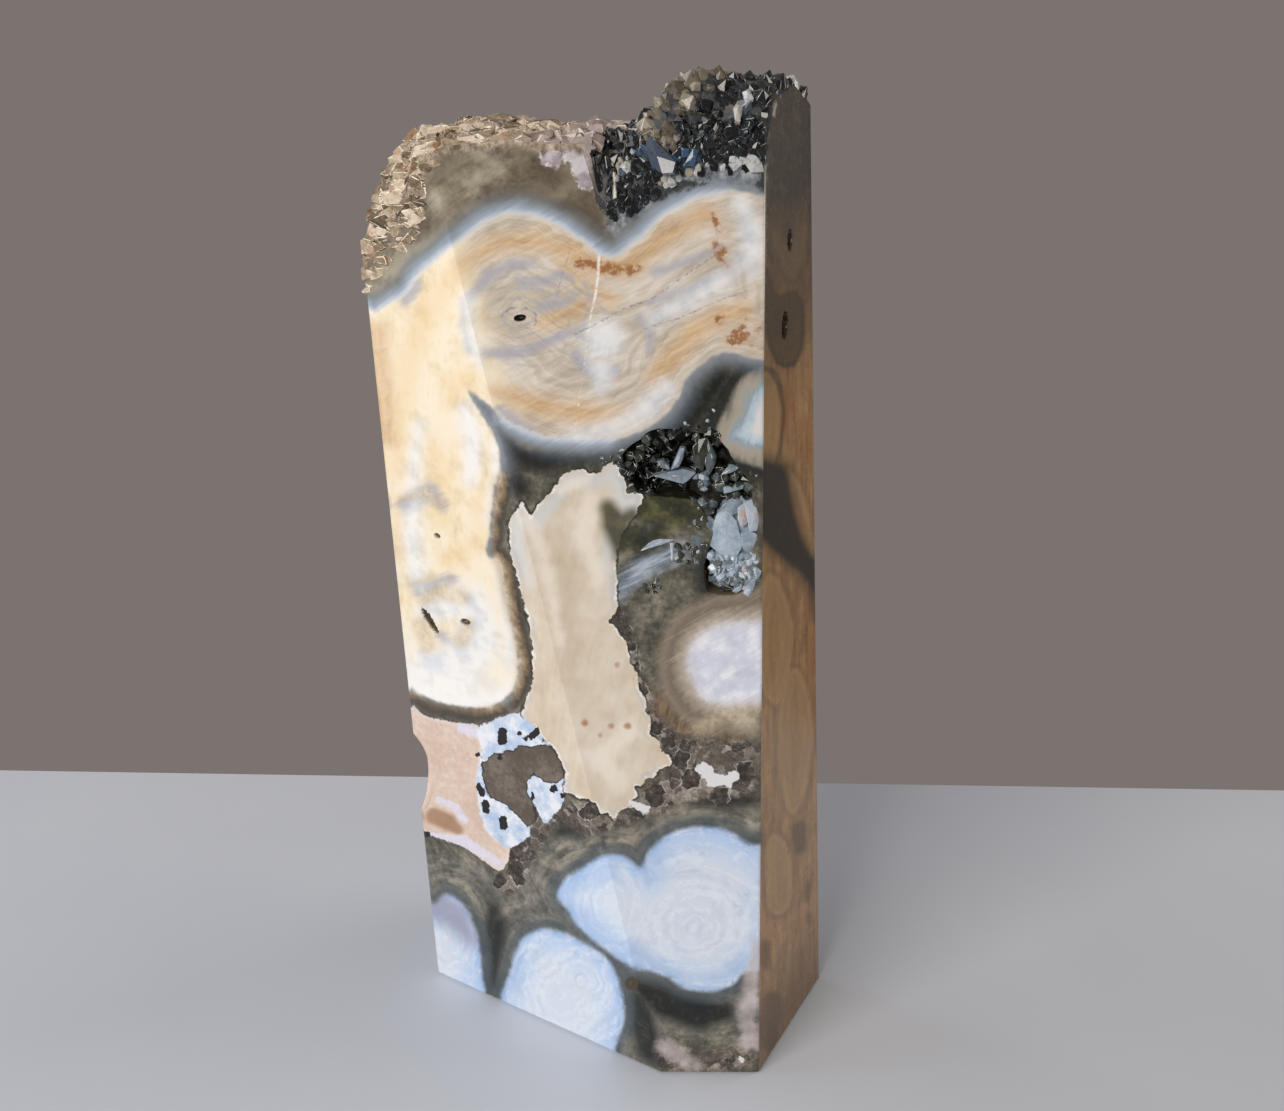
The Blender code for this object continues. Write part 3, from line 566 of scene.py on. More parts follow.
def right_lobe(x, y):
    foot_x, foot_z = RIGHT_FOOT
    along = min(max((x - foot_x) / RIGHT_FOOT_LENGTH, 0.0), 1.0)
    foot = foot_z + RIGHT_FOOT_RISE * math.sin(along * math.pi / 2)
    rise = smooth_step(x, foot_x - 1.0, foot_x + RIGHT_RISE_LENGTH)
    crest = LEFT_CREST + (RIGHT_CREST - LEFT_CREST) * rise
    end = max(x - (RIGHT_END[0] - RIGHT_END[1]), 0.0) / RIGHT_END[1]
    knob_x, knob_y, knob_radius, knob_height = KNOB
    knob = knob_height * math.exp(-((x - knob_x) ** 2 + (y - knob_y) ** 2) / knob_radius**2)
    height = rounded_rise(foot, crest, behind_wall("front_ridge", x, y), RIGHT_DEPTH)
    return height + knob - RIGHT_END_FALL * end * end


def natural_height(x, y):
    """The height of the nodule's natural outside over a place, with its broad lumps."""
    step = smooth_step(x, STEP_FROM, STEP_TO)
    back = max(y - BACK_FALL_FROM, 0.0)
    height = left_lobe(x, y) * (1 - step) + right_lobe(x, y) * step - BACK_FALL * back * back
    return height + SKIN_LUMP_HEIGHT * noise.noise(Vector((x, y, height)) / SKIN_LUMP_LENGTH)


def surface_normal(x, y):
    reach = 0.8
    slope_x = (natural_height(x + reach, y) - natural_height(x - reach, y)) / (2 * reach)
    slope_y = (natural_height(x, y + reach) - natural_height(x, y - reach)) / (2 * reach)
    return Vector((-slope_x, -slope_y, 1.0)).normalized()


def wall_frame(name):
    """A wall's origin at the foot of its corner, and its directions: along, up and outward."""
    index = NAMES.index(name)
    low, along = wall_line(index, 0.0)
    high, _ = wall_line(index, 100.0)
    side = Vector((along.x, along.y, 0.0))
    rough_up = Vector((high.x - low.x, high.y - low.y, 100.0))
    outward = side.cross(rough_up).normalized()
    return Vector((low.x, low.y, 0.0)), side, outward.cross(side).normalized(), outward


FRAMES = {name: wall_frame(name) for name in NAMES}


def on_wall(name, along, up, out=0.0):
    origin, side, rise, outward = FRAMES[name]
    return origin + side * along + rise * up + outward * out


def camera_turn():
    return Matrix.Rotation(math.radians(CAMERA_TURN), 3, "Z") @ Matrix.Rotation(math.radians(90 - CAMERA_TILT), 3, "X")


def seen_at(points):
    """Where points show in the picture, in pixels, and how far in front of the camera they are."""
    turned = (np.asarray(points) - np.array(CAMERA_PLACE)) @ np.array(camera_turn())
    far = -turned[:, 2]
    x = PICTURE[0] / 2 + FOCAL_PIXELS * turned[:, 0] / far
    y = PICTURE[1] / 2 - FOCAL_PIXELS * turned[:, 1] / far
    return np.stack([x, y], axis=1), far


def sight_line(x, y):
    """The direction from the camera through a pixel."""
    local = Vector((x - PICTURE[0] / 2, PICTURE[1] / 2 - y, -FOCAL_PIXELS))
    return (camera_turn() @ local).normalized()


def seen_on_wall(name, x, y):
    """Along and up on a wall where a pixel shows it."""
    origin, side, rise, outward = FRAMES[name]
    start, way = Vector(CAMERA_PLACE), sight_line(x, y)
    place = start + way * ((origin - start).dot(outward) / way.dot(outward)) - origin
    return place.dot(side), place.dot(rise)


def rounded_outline(points, steps=4):
    """A smooth closed curve through an outline's points."""
    count = len(points)
    curve = []
    for i in range(count):
        a, b, c, d = (np.array(points[(i + k) % count], float) for k in (-1, 0, 1, 2))
        for step in range(steps):
            t = step / steps
            curve.append(
                0.5 * (2 * b + (c - a) * t + (2 * a - 5 * b + 4 * c - d) * t * t + (3 * b - 3 * c + d - a) * t**3)
            )
    return np.array(curve)


def depth_inside(places, points):
    """How deep each place lies inside a closed outline: negative outside it."""
    near = np.full(len(places), 1e9)
    inside = np.zeros(len(places), bool)
    for here, there in zip(points, np.roll(points, -1, axis=0)):
        run = there - here
        gap = places - here
        share = np.clip(gap @ run / max(run @ run, 1e-12), 0, 1)
        near = np.minimum(near, np.hypot(*(gap - share[:, None] * run).T))
        crosses = (here[1] > places[:, 1]) != (there[1] > places[:, 1])
        if run[1]:
            inside ^= crosses & (places[:, 0] < here[0] + (places[:, 1] - here[1]) * run[0] / run[1])
    return np.where(inside, near, -near)


def depth_in_strokes(places, strokes):
    """How deep each place lies inside any of a list of strokes."""
    depth = np.full(len(places), -1e9)
    for stroke in strokes:
        spots = np.array(stroke, float)
        ends = list(zip(spots, spots[1:])) or [(spots[0], spots[0])]
        for here, there in ends:
            run = there[:2] - here[:2]
            gap = places - here[:2]
            share = np.clip(gap @ run / max(run @ run, 1e-12), 0, 1)
            width = here[2] + (there[2] - here[2]) * share
            depth = np.maximum(depth, width - np.hypot(*(gap - share[:, None] * run).T))
    return depth


def rings_round(places, centres):
    """Distance from the nearest ring centre."""
    rings = [np.hypot((places[:, 0] - x) / wide, places[:, 1] - y) for x, y, wide in centres]
    return np.min(rings, axis=0)


def union(*depths):
    return np.max(depths, axis=0)


FRONT_DRAWING = {
    "crown": lambda at: depth_inside(at, rounded_outline(CROWN)),
    "boot": lambda at: depth_inside(at, np.array(BOOT, float)),
    "blush": lambda at: depth_inside(at, rounded_outline(BLUSH)),
    "frost": lambda at: depth_inside(at, rounded_outline(FROST)),
    "quartz_window": lambda at: depth_inside(at, np.array(QUARTZ_WINDOW, float)),
    "orbs": lambda at: union(*(depth_inside(at, rounded_outline(o)) for o in (LARGE_ORB, SMALL_ORB, LEFT_ORB))),
    "right_orb": lambda at: depth_inside(at, rounded_outline(RIGHT_ORB)),
    "edge_orb": lambda at: depth_inside(at, rounded_outline(EDGE_ORB)),
    "amber": lambda at: depth_in_strokes(at, AMBER),
    "honey": lambda at: depth_in_strokes(at, HONEY),
    "rust": lambda at: depth_in_strokes(at, RUST),
    "slate": lambda at: depth_in_strokes(at, SLATE),
    "milk": lambda at: depth_in_strokes(at, MILK),
    "umber": lambda at: depth_in_strokes(at, UMBER),
    "murk": lambda at: depth_in_strokes(at, MURK),
    "olive": lambda at: depth_in_strokes(at, OLIVE),
    "steel": lambda at: depth_in_strokes(at, STEEL),
    "chalk": lambda at: depth_in_strokes(at, CHALK),
    "haze": lambda at: depth_in_strokes(at, HAZE),
    "umber_top": lambda at: depth_in_strokes(at, UMBER_TOP),
    "column_rim": lambda at: depth_in_strokes(at, COLUMN_RIM),
    "blue_edge": lambda at: depth_in_strokes(at, BLUE_EDGE),
    "night": lambda at: depth_in_strokes(at, NIGHT),
    "orb_grey": lambda at: depth_in_strokes(at, ORB_GREY),
    "wedge": lambda at: depth_in_strokes(at, WEDGE),
    "orb_blue": lambda at: depth_in_strokes(at, ORB_BLUE),
    "cream_patch": lambda at: depth_in_strokes(at, CREAM_PATCH),
    "stain": lambda at: depth_in_strokes(at, STAIN),
    "boot_streak": lambda at: depth_in_strokes(at, BOOT_STREAK),
    "boot_light": lambda at: depth_in_strokes(at, BOOT_LIGHT),
    "boot_window": lambda at: depth_in_strokes(at, BOOT_WINDOW),
    "crack": lambda at: depth_in_strokes(at, CRACK),
    "grey_lines": lambda at: depth_in_strokes(at, GREY_LINES),
    "specks": lambda at: depth_in_strokes(at, SPECKS),
    "dark_quartz": lambda at: depth_in_strokes(at, DARK_QUARTZ),
    "grains": lambda at: depth_in_strokes(at, GRAINS),
    "pale_patches": lambda at: depth_in_strokes(at, PALE_PATCHES),
    "lilac_facets": lambda at: union(*(depth_inside(at, np.array(o, float)) for o in LILAC_FACETS)),
    "lens": lambda at: depth_in_strokes(at, LENS),
    "lilac_edge": lambda at: depth_in_strokes(at, LILAC_EDGE),
    "small_eye": lambda at: depth_in_strokes(at, SMALL_EYE),
    "orb_rings": lambda at: rings_round(at, ORB_CENTRES),
    "great_eye": lambda at: rings_round(at, [GREAT_EYE]),
}
SIDE_DRAWING = {
    "side_ovals": lambda at: union(*(depth_inside(at, rounded_outline(o)) for o in SIDE_OVALS)),
    "side_dark_oval": lambda at: depth_inside(at, rounded_outline(SIDE_DARK_OVAL)),
    "side_vein": lambda at: depth_inside(at, rounded_outline(SIDE_VEIN)),
    "side_lines": lambda at: depth_in_strokes(at, SIDE_LINES),
    "side_shades": lambda at: depth_in_strokes(at, SIDE_SHADES),
    "side_rust": lambda at: depth_in_strokes(at, SIDE_RUST),
}


def slid_to_front(points):
    """Where the bodies behind the front come forward to it, bent more the deeper they lie."""
    moved = np.array(points, float)
    depth = np.full(len(moved), 1e9)
    for name in ("left_front", "front_ridge"):
        origin, _, _, outward = FRAMES[name]
        depth = np.minimum(depth, -(moved - np.array(origin)) @ np.array(outward))
    depth = np.clip(depth, 0.0, 40.0)
    for i, (x, y, z) in enumerate(points):
        if depth[i] < 0.01:
            continue
        bend = noise.noise_vector(Vector((x, y, z)) / 21.0)
        share = depth[i] / 28.0
        wrap = 0.08 + 0.82 * smooth_step(-x, 5.0, 33.0)
        moved[i] = (x + wrap * depth[i] + 13 * bend.x * share, y - depth[i], z + 5 * share + 17 * bend.z * share)
    low, high = -33.0, 31.0
    moved[:, 0] = high - np.abs((moved[:, 0] - low) % (2 * (high - low)) - (high - low))
    return moved


def draw_on(mesh, points):
    """Keeps on each point of a mesh how deep it lies in every outline and stroke."""
    for drawing, moved in ((FRONT_DRAWING, slid_to_front(points)), (SIDE_DRAWING, points)):
        at, far = seen_at(moved)
        for name, depth in drawing.items():
            keep_on_points(mesh, name, depth(at) * far / FOCAL_PIXELS)


def keep_on_points(mesh, name, values):
    mesh.attributes.new(name, "FLOAT", "POINT").data.foreach_set("value", np.asarray(values, np.float32))


def columns():
    """The upright lines of the block's rounded corners: a foot and a lean per millimetre of height."""
    low, high = outline(0.0), outline(100.0)
    return [(foot, (top - foot) / 100.0) for foot, top in zip(low, high)]


def rim_height(place):
    """The height at which an upright line, a function of height, meets the natural top."""
    low, high = 110.0, 175.0
    for _ in range(26):
        middle = (low + high) / 2
        x, y = place(middle)
        if natural_height(x, y) > middle:
            low = middle
        else:
            high = middle
    return low


def even_places(low, high, spacing, rng):
    """Shaken places on a triangular grid over a rectangle."""
    places = []
    row = 0
    y = low[1]
    while y <= high[1]:
        x = low[0] + (spacing / 2 if row % 2 else 0.0)
        while x <= high[0]:
            places.append((x + rng.uniform(-0.2, 0.2) * spacing, y + rng.uniform(-0.2, 0.2) * spacing))
            x += spacing
        y += spacing * 0.866
        row += 1
    return np.array(places)


def filled(border, loops, inside):
    """Triangles that fill a closed border, through loops and places inside it."""
    points = [Vector(p) for p in border]
    sides = [(i, (i + 1) % len(border)) for i in range(len(border))]
    for loop in loops:
        first = len(points)
        points += [Vector(p) for p in loop]
        sides += [(first + i, first + (i + 1) % len(loop)) for i in range(len(loop))]
    points += [Vector(p) for p in inside]
    found, _, faces, *_ = delaunay_2d_cdt(points, sides, [], 1, 1e-6)
    return [tuple(p) for p in found], [tuple(f) for f in faces]


def hollow_mouth():
    """The hollow's broken edge: its outline with a little ragged wandering."""
    curve = rounded_outline(HOLLOW_OUTLINE, 12)
    mouth = []
    for x, y in curve:
        bend = noise.noise_vector(Vector((x, y, 3.0)) / 1.3)
        mouth.append((x + 0.3 * bend.x, y + 0.3 * bend.y))
    return np.array(mouth)


def sunk_places(name, flat, mouth):
    """How deep each place of a wall lies under its plane: the hollow and the pits."""
    depth = np.zeros(len(flat))
    if name == "front_ridge":
        inside = depth_inside(flat, mouth)
        slope = np.clip(inside / (HOLLOW_TAPER + 0.1), 0, 1)
        for i in np.nonzero(inside > 0)[0]:
            rough = noise.noise(Vector((flat[i][0], flat[i][1], 0)) / 1.4)
            depth[i] = slope[i] * (HOLLOW_DEPTH - 0.25 + 0.25 * rough)
    for wall, along, up, half_length, half_width, deep, turn in PITS:
        if wall != name:
            continue
        gap = flat - np.array((along, up))
        angle = math.radians(turn)
        long_way = gap @ np.array((math.cos(angle), math.sin(angle))) / half_length
        short_way = gap @ np.array((-math.sin(angle), math.cos(angle))) / half_width
        depth = np.maximum(depth, deep * np.sqrt(np.clip(1 - long_way**2 - short_way**2, 0, 1)))
    return depth


def pit_places(name):
    """Closer mesh points round each pit of a wall."""
    places = []
    for wall, along, up, half_length, half_width, _, turn in PITS:
        if wall != name:
            continue
        angle = math.radians(turn)
        for share in (0.35, 0.7, 0.9, 1.0, 1.15):
            for k in range(18):
                a = 2 * math.pi * k / 18
                x, y = math.cos(a) * half_length * share, math.sin(a) * half_width * share
                places.append(
                    (along + x * math.cos(angle) - y * math.sin(angle), up + x * math.sin(angle) + y * math.cos(angle))
                )
    return places


def carved(points):
    """Pushes what lies inside the notch and the chips back onto their hollows."""
    for centre, size in [(NOTCH_CENTRE, NOTCH_SIZE)] + [((x, y, z), (s, s, s * 1.5)) for x, y, z, s in CHIPS]:
        gap = (points - np.array(centre)) / np.array(size)
        reach = np.linalg.norm(gap, axis=1)
        inside = (reach < 1) & (reach > 1e-6)
        points[inside] = np.array(centre) + gap[inside] / reach[inside, None] * np.array(size)
    return points


def skin_relief(x, y, z):
    """Broken plates of the natural skin: their offset, how near a plate's edge is, and the plate's shade."""
    dark = smooth_step(x, STEP_FROM, STEP_TO)
    size = 3.4 - 1.3 * smooth_step(-x, 18.0, 28.0) - 1.2 * dark
    place = Vector((x, y, z)) / size
    place += 0.35 * noise.noise_vector(place * 0.7)
    gaps, seeds = noise.voronoi(place)
    tilt = noise.cell_vector(seeds[0] * 5.3) - Vector((0.5, 0.5, 0.5))
    offset = tilt.dot(place - seeds[0]) * 1.5 + tilt.x * 0.7
    edge = gaps[1] - gaps[0]
    return offset * size * 0.34, edge, tilt.y + 0.5


def wall_mesh(name, stems, rims, mouth, rng):
    """A wall's points and triangles, between the two upright lines that end it."""
    index = NAMES.index(name)
    left, right = stems[index * 4 + 3], stems[(index + 1) % len(NAMES) * 4]
    origin, side, rise, outward = FRAMES[name]
    grain = WALL_GRAIN[name]

    def place(share, height):
        ends = [foot + lean * height for foot, lean in (left, right)]
        flat = ends[0].lerp(ends[1], share)
        return Vector((flat.x, flat.y, height))

    def flat_place(point):
        gap = point - origin
        return gap.dot(side), gap.dot(rise)

    width = (place(1, 0) - place(0, 0)).length
    base_steps, rim_steps = round(width / grain), round(width / 0.45)
    border = [flat_place(place(i / base_steps, BASE_CHAMFER)) for i in range(base_steps)]
    border += [flat_place(p) for p in rims[(index + 1) % len(NAMES) * 4][:-1]]
    for i in range(rim_steps):
        share = 1 - i / rim_steps
        top = rim_height(lambda height: place(share, height).xy)
        border.append(flat_place(place(share, top)))
    border += [flat_place(p) for p in reversed(rims[index * 4 + 3][1:])]
    border = np.array(border)
    inner = even_places(border.min(axis=0), border.max(axis=0), grain, rng)
    loops = []
    if name == "front_ridge":
        loops = [mouth, shrunk_loop(mouth, 0.4), shrunk_loop(mouth, 0.8)]
        near_mouth = np.min([np.abs(depth_inside(inner, loop)) for loop in loops], axis=0)
        inner = inner[near_mouth > 0.16]
    inner = np.array(list(inner) + pit_places(name))
    inner = inner[depth_inside(inner, border) > grain * 0.45]
    flat, faces = filled(border, loops, inner)
    flat = np.array(flat)
    depth = sunk_places(name, flat, mouth)
    points = [on_wall(name, x, y, -deep) for (x, y), deep in zip(flat, depth)]
    return points, faces, depth


def shrunk_loop(loop, inset):
    """A loop moved inwards by inset."""
    before, after = np.roll(loop, 1, axis=0), np.roll(loop, -1, axis=0)
    run = after - before
    run /= np.linalg.norm(run, axis=1)[:, None]
    left = np.stack([-run[:, 1], run[:, 0]], axis=1)
    turn = np.sum(loop[:, 0] * np.roll(loop[:, 1], -1) - loop[:, 1] * np.roll(loop[:, 0], -1))
    moved = loop + left * inset * (1 if turn > 0 else -1)
    return moved[depth_inside(moved, loop) > inset * 0.8]


def top_mesh(rim, rng):
    """The natural top's points and triangles inside its rim, with how near each point is to a plate's edge."""
    border = np.array([(p.x, p.y) for p in rim])
    coarse = even_places(border.min(axis=0), border.max(axis=0), TOP_GRAIN, rng)
    fine = even_places(border.min(axis=0), border.max(axis=0), TOP_FINE_GRAIN, rng)
    front = np.array([min(behind_wall("left_front", x, y), behind_wall("front_ridge", x, y)) for x, y in fine])
    steep = (fine[:, 0] < -21.0) | (front < 4.0) | ((fine[:, 0] > -1.0) & (fine[:, 0] < 4.0)) | (fine[:, 0] > 23.0)
    front = np.array([min(behind_wall("left_front", x, y), behind_wall("front_ridge", x, y)) for x, y in coarse])
    gentle = (coarse[:, 0] >= -21.0) & (front >= 4.0) & ~((coarse[:, 0] > -1.0) & (coarse[:, 0] < 4.0))
    gentle &= coarse[:, 0] <= 23.0
    inner = np.concatenate([coarse[gentle], fine[steep]])
    inner = inner[depth_inside(inner, border) > 0.2]
    flat, faces = filled(border, [], inner)
    margin = depth_inside(np.array(flat), border)
    heights = {(round(p.x, 4), round(p.y, 4)): p.z for p in rim}
    points, edges, shades = [], [], []
    for (x, y), inside in zip(flat, margin):
        z = heights.get((round(x, 4), round(y, 4)))
        if z is None:
            z = natural_height(x, y)
        offset, edge, shade = skin_relief(x, y, z)
        ease = smooth_step(inside, 0.05, 1.2)
        points.append(Vector((x, y, z)) + surface_normal(x, y) * (offset * ease))
        edges.append(edge)
        shades.append(shade)
    return points, faces, edges, shades


def stone_mesh():
    """The whole stone as one closed mesh, with what its materials need on every point."""
    rng = random.Random(3)
    stems = columns()
    mouth = hollow_mouth()
    points, faces, materials, sunk, edges, shades = [], [], [], [], [], []

    def add(new_points, new_faces, material, depth=None, edge=None, shade=None):
        first = len(points)
        points.extend(tuple(p) for p in new_points)
        faces.extend(tuple(first + i for i in face) for face in new_faces)
        materials.extend([material] * len(new_faces))
        count = len(new_points)
        sunk.extend([0.0] * count if depth is None else depth)
        edges.extend([1.0] * count if edge is None else edge)
        shades.extend([0.5] * count if shade is None else shade)

    rims = []
    for number, (foot, lean) in enumerate(stems):
        name = NAMES[number // 4]
        top = rim_height(lambda height: foot + lean * height)
        steps = EDGE_STEPS[name]
        heights = [BASE_CHAMFER + (top - BASE_CHAMFER) * k / steps for k in range(steps + 1)]
        rims.append([Vector((*(foot + lean * h), h)) for h in heights])
    for number in range(len(stems)):
        if number % 4 == 3:
            continue
        steps = len(rims[number])
        strip = rims[number] + rims[number + 1]
        quads = [(k, steps + k, steps + k + 1, k + 1) for k in range(steps - 1)]
        add(strip, quads, 1 if NAMES[number // 4] == "right_back" else 0)
    rim = []
    for name in NAMES:
        index = NAMES.index(name)
        wall_points, wall_faces, depth = wall_mesh(name, stems, rims, mouth, rng)
        add(wall_points, wall_faces, 1 if name == "right_front" else 0, depth=depth)
        left, right = stems[index * 4 + 3], stems[(index + 1) % len(NAMES) * 4]
        width = (right[0] - left[0]).length
        rim += [rims[index * 4 + k][-1] for k in range(4)]
        for i in range(1, round(width / 0.45)):
            share = i / round(width / 0.45)
            foot, lean = left[0].lerp(right[0], share), left[1].lerp(right[1], share)
            top = rim_height(lambda height: foot + lean * height)
            rim.append(Vector((*(foot + lean * top), top)))
    top_points, top_faces, edge, shade = top_mesh(rim, rng)
    add(top_points, top_faces, 2, edge=edge, shade=shade)
    base_ring, base_low = [], []
    for name in NAMES:
        index = NAMES.index(name)
        left, right = stems[index * 4 + 3], stems[(index + 1) % len(NAMES) * 4]
        low = outline(0.0, BASE_CHAMFER)
        base_ring += [rims[index * 4 + k][0] for k in range(4)]
        base_low += [Vector((*low[index * 4 + k], 0.0)) for k in range(4)]
        steps = round((right[0] - left[0]).length / WALL_GRAIN[name])
        for i in range(1, steps):
            share = i / steps
            start = left[0] + left[1] * BASE_CHAMFER
            end = right[0] + right[1] * BASE_CHAMFER
            base_ring.append(Vector((*start.lerp(end, share), BASE_CHAMFER)))
            base_low.append(Vector((*low[index * 4 + 3].lerp(low[(index + 1) % len(NAMES) * 4], share), 0.0)))
    count = len(base_ring)
    add(base_ring + base_low, [(count + i, count + (i + 1) % count, (i + 1) % count, i) for i in range(count)], 0)
    centre = Vector((0.0, 2.0, 0.0))
    add(base_low + [centre], [((i + 1) % count, i, count) for i in range(count)], 0)
    return np.array(points), faces, materials, sunk, edges, shades


def new_piece(name, points, faces, body="root"):
    """A mesh object in metres from millimetre points."""
    mesh = bpy.data.meshes.new(name)
    mesh.from_pydata([tuple(c * MM for c in p) for p in points], [], faces)
    mesh.update()
    piece = bpy.data.objects.new(name, mesh)
    bpy.context.scene.collection.objects.link(piece)
    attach(piece, body)
    return piece


def make_stone(finishes):
    points, faces, materials, sunk, edges, shades = stone_mesh()
    points = carved(points)
    stone = new_piece("jasper_stone", points, faces)
    mesh = stone.data
    for finish in finishes:
        mesh.materials.append(finish)
    mesh.polygons.foreach_set("material_index", materials)
    keep_on_points(mesh, "sunk", sunk)
    keep_on_points(mesh, "plate_edge", edges)
    keep_on_points(mesh, "plate_shade", shades)
    bm = bmesh.new()
    bm.from_mesh(mesh)
    bmesh.ops.remove_doubles(bm, verts=bm.verts[:], dist=0.004 * MM)
    bmesh.ops.recalc_face_normals(bm, faces=bm.faces[:])
    for face in bm.faces:
        face.smooth = True
    bm.to_mesh(mesh)
    bm.free()
    mesh.set_sharp_from_angle(angle=math.radians(32))
    placed = np.array([tuple(v.co / MM) for v in mesh.vertices])
    draw_on(mesh, placed)
    keep_on_points(mesh, "cover", [natural_height(x, y) - z if z > 120 else 50.0 for x, y, z in placed])
    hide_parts("stone")
    return stone


def inside_stone(place):
    """Whether a place lies in the plain block, under its natural top."""
    if place.z > natural_height(place.x, place.y):
        return False
    return all((place - origin).dot(outward) < 0 for origin, _, _, outward in FRAMES.values())


def stone_under(x, y):
    """Where a pixel's sight line meets the plain stone, and which way the stone faces there."""
    start, way = Vector(CAMERA_PLACE), sight_line(x, y)
    near, far = 130.0, 130.0
    while not inside_stone(start + way * far) and far < 260.0:
        near, far = far, far + 0.6
    for _ in range(8):
        middle = (near + far) / 2
        near, far = (near, middle) if inside_stone(start + way * middle) else (middle, far)
    place = start + way * far
    depth, outward = min((-(place - origin).dot(outward), tuple(outward)) for origin, _, _, outward in FRAMES.values())
    return place, Vector(outward) if depth < 0.15 else surface_normal(place.x, place.y)


def pixels_in(outline_points, spacing, rng):
    """Shaken places inside an outline in the picture."""
    points = np.array(outline_points, float)
    places = even_places(points.min(axis=0), points.max(axis=0), spacing, rng)
    return places[depth_inside(places, points) > 0]


def hull_of(points):
    """The convex crystal round a few points."""
    bm = bmesh.new()
    made = [bm.verts.new(p) for p in points]
    hull = bmesh.ops.convex_hull(bm, input=made, use_existing_faces=False)
    unused = [v for v in hull["geom_unused"] + hull["geom_interior"] if isinstance(v, bmesh.types.BMVert)]
    bmesh.ops.delete(bm, geom=list(dict.fromkeys(unused)), context="VERTS")
    return bm


def quartz_point(base, axis, radius, length, spin):
    """A six-sided crystal with a blunt pyramid end, standing on base along axis."""
    turned = axis.to_track_quat("Z", "Y").to_matrix().to_4x4() @ Matrix.Rotation(spin, 4, "Z")
    corners = [Vector((radius * 0.25, radius * 0.1, length))]
    for height, share in ((0.0, 1.0), (length * PRISM_SHARE, 0.96)):
        for k in range(6):
            angle = k * math.pi / 3
            corners.append(Vector((math.cos(angle) * radius * share, math.sin(angle) * radius * share, height)))
    return hull_of([base + turned.to_3x3() @ corner for corner in corners])


def lump(centre, size, rng):
    """A broken, flat-faced lump: the hull of a few points round a flattened ball."""
    ways = [Vector((rng.gauss(0, 1), rng.gauss(0, 1), rng.gauss(0, 1))).normalized() for _ in range(LUMP_CORNERS)]
    return hull_of([centre + way * Vector(LUMP_STRETCH) * size for way in ways])


def trim_to_walls(bm, clearance):
    """Cuts one convex crystal back to just inside every wall, or just outside for a negative clearance."""
    for origin, _, _, outward in FRAMES.values():
        everything = bm.verts[:] + bm.edges[:] + bm.faces[:]
        inside = origin - outward * clearance
        cut = bmesh.ops.bisect_plane(bm, geom=everything, plane_co=inside, plane_no=outward, clear_outer=True)
        rim = [edge for edge in cut["geom_cut"] if isinstance(edge, bmesh.types.BMEdge)]
        if rim:
            bmesh.ops.contextual_create(bm, geom=rim)


def scattered(spacing, rng, low_x, high_x):
    """Places over the natural top that keep their spacing, on its steep fronts as well as on its crests."""
    places = []
    for _ in range(SCATTER_TRIES):
        x, y = rng.uniform(low_x, high_x), rng.uniform(-18.6, 18.4)
        height = natural_height(x, y)
        if height < SCATTER_LOWEST or not inside_block(x, y, height, 0.1):
            continue
        place = Vector((x, y, height))
        if all((place - other).length > spacing for other in places):
            places.append(place)
    return places


def inside_block(x, y, height, margin):
    for i in range(len(NAMES)):
        point, along = wall_line(i, height)
        inward = Vector((-along.y, along.x))
        if inward.dot(Vector((x, y)) - point) < margin:
            return False
    return True


class Growth:
    """Crystals gathered into one piece, each with a tone of its own and narrow edges with a painted highlight."""

    def __init__(self):
        self.points, self.faces, self.worn, self.tones = [], [], [], []

    def take(self, bm, tone, edge):
        if len(bm.faces) < 4:
            return
        bmesh.ops.dissolve_limit(bm, angle_limit=0.03, verts=bm.verts[:], edges=bm.edges[:])
        # Sharp edges become bevel strips that take the second finish, a painted highlight.
        sharp = [e for e in bm.edges if len(e.link_faces) == 2 and e.calc_face_angle() > math.radians(GLINT_EDGE_ANGLE)]
        bmesh.ops.bevel(
            bm, geom=sharp, offset=edge, segments=1, profile=0.5, affect="EDGES", clamp_overlap=True, material=1
        )
        bmesh.ops.recalc_face_normals(bm, faces=bm.faces[:])
        first = len(self.points)
        bm.verts.index_update()
        self.points += [v.co.copy() for v in bm.verts]
        self.faces += [tuple(first + v.index for v in face.verts) for face in bm.faces]
        self.worn += [face.material_index for face in bm.faces]
        self.tones += [tone] * len(bm.verts)
        bm.free()

    def piece(self, name, finishes, slot):
        made = new_piece(name, self.points, self.faces)
        for finish in finishes:
            made.data.materials.append(finish)
        made.data.polygons.foreach_set("material_index", self.worn)
        keep_on_points(made.data, "tone", self.tones)
        return made


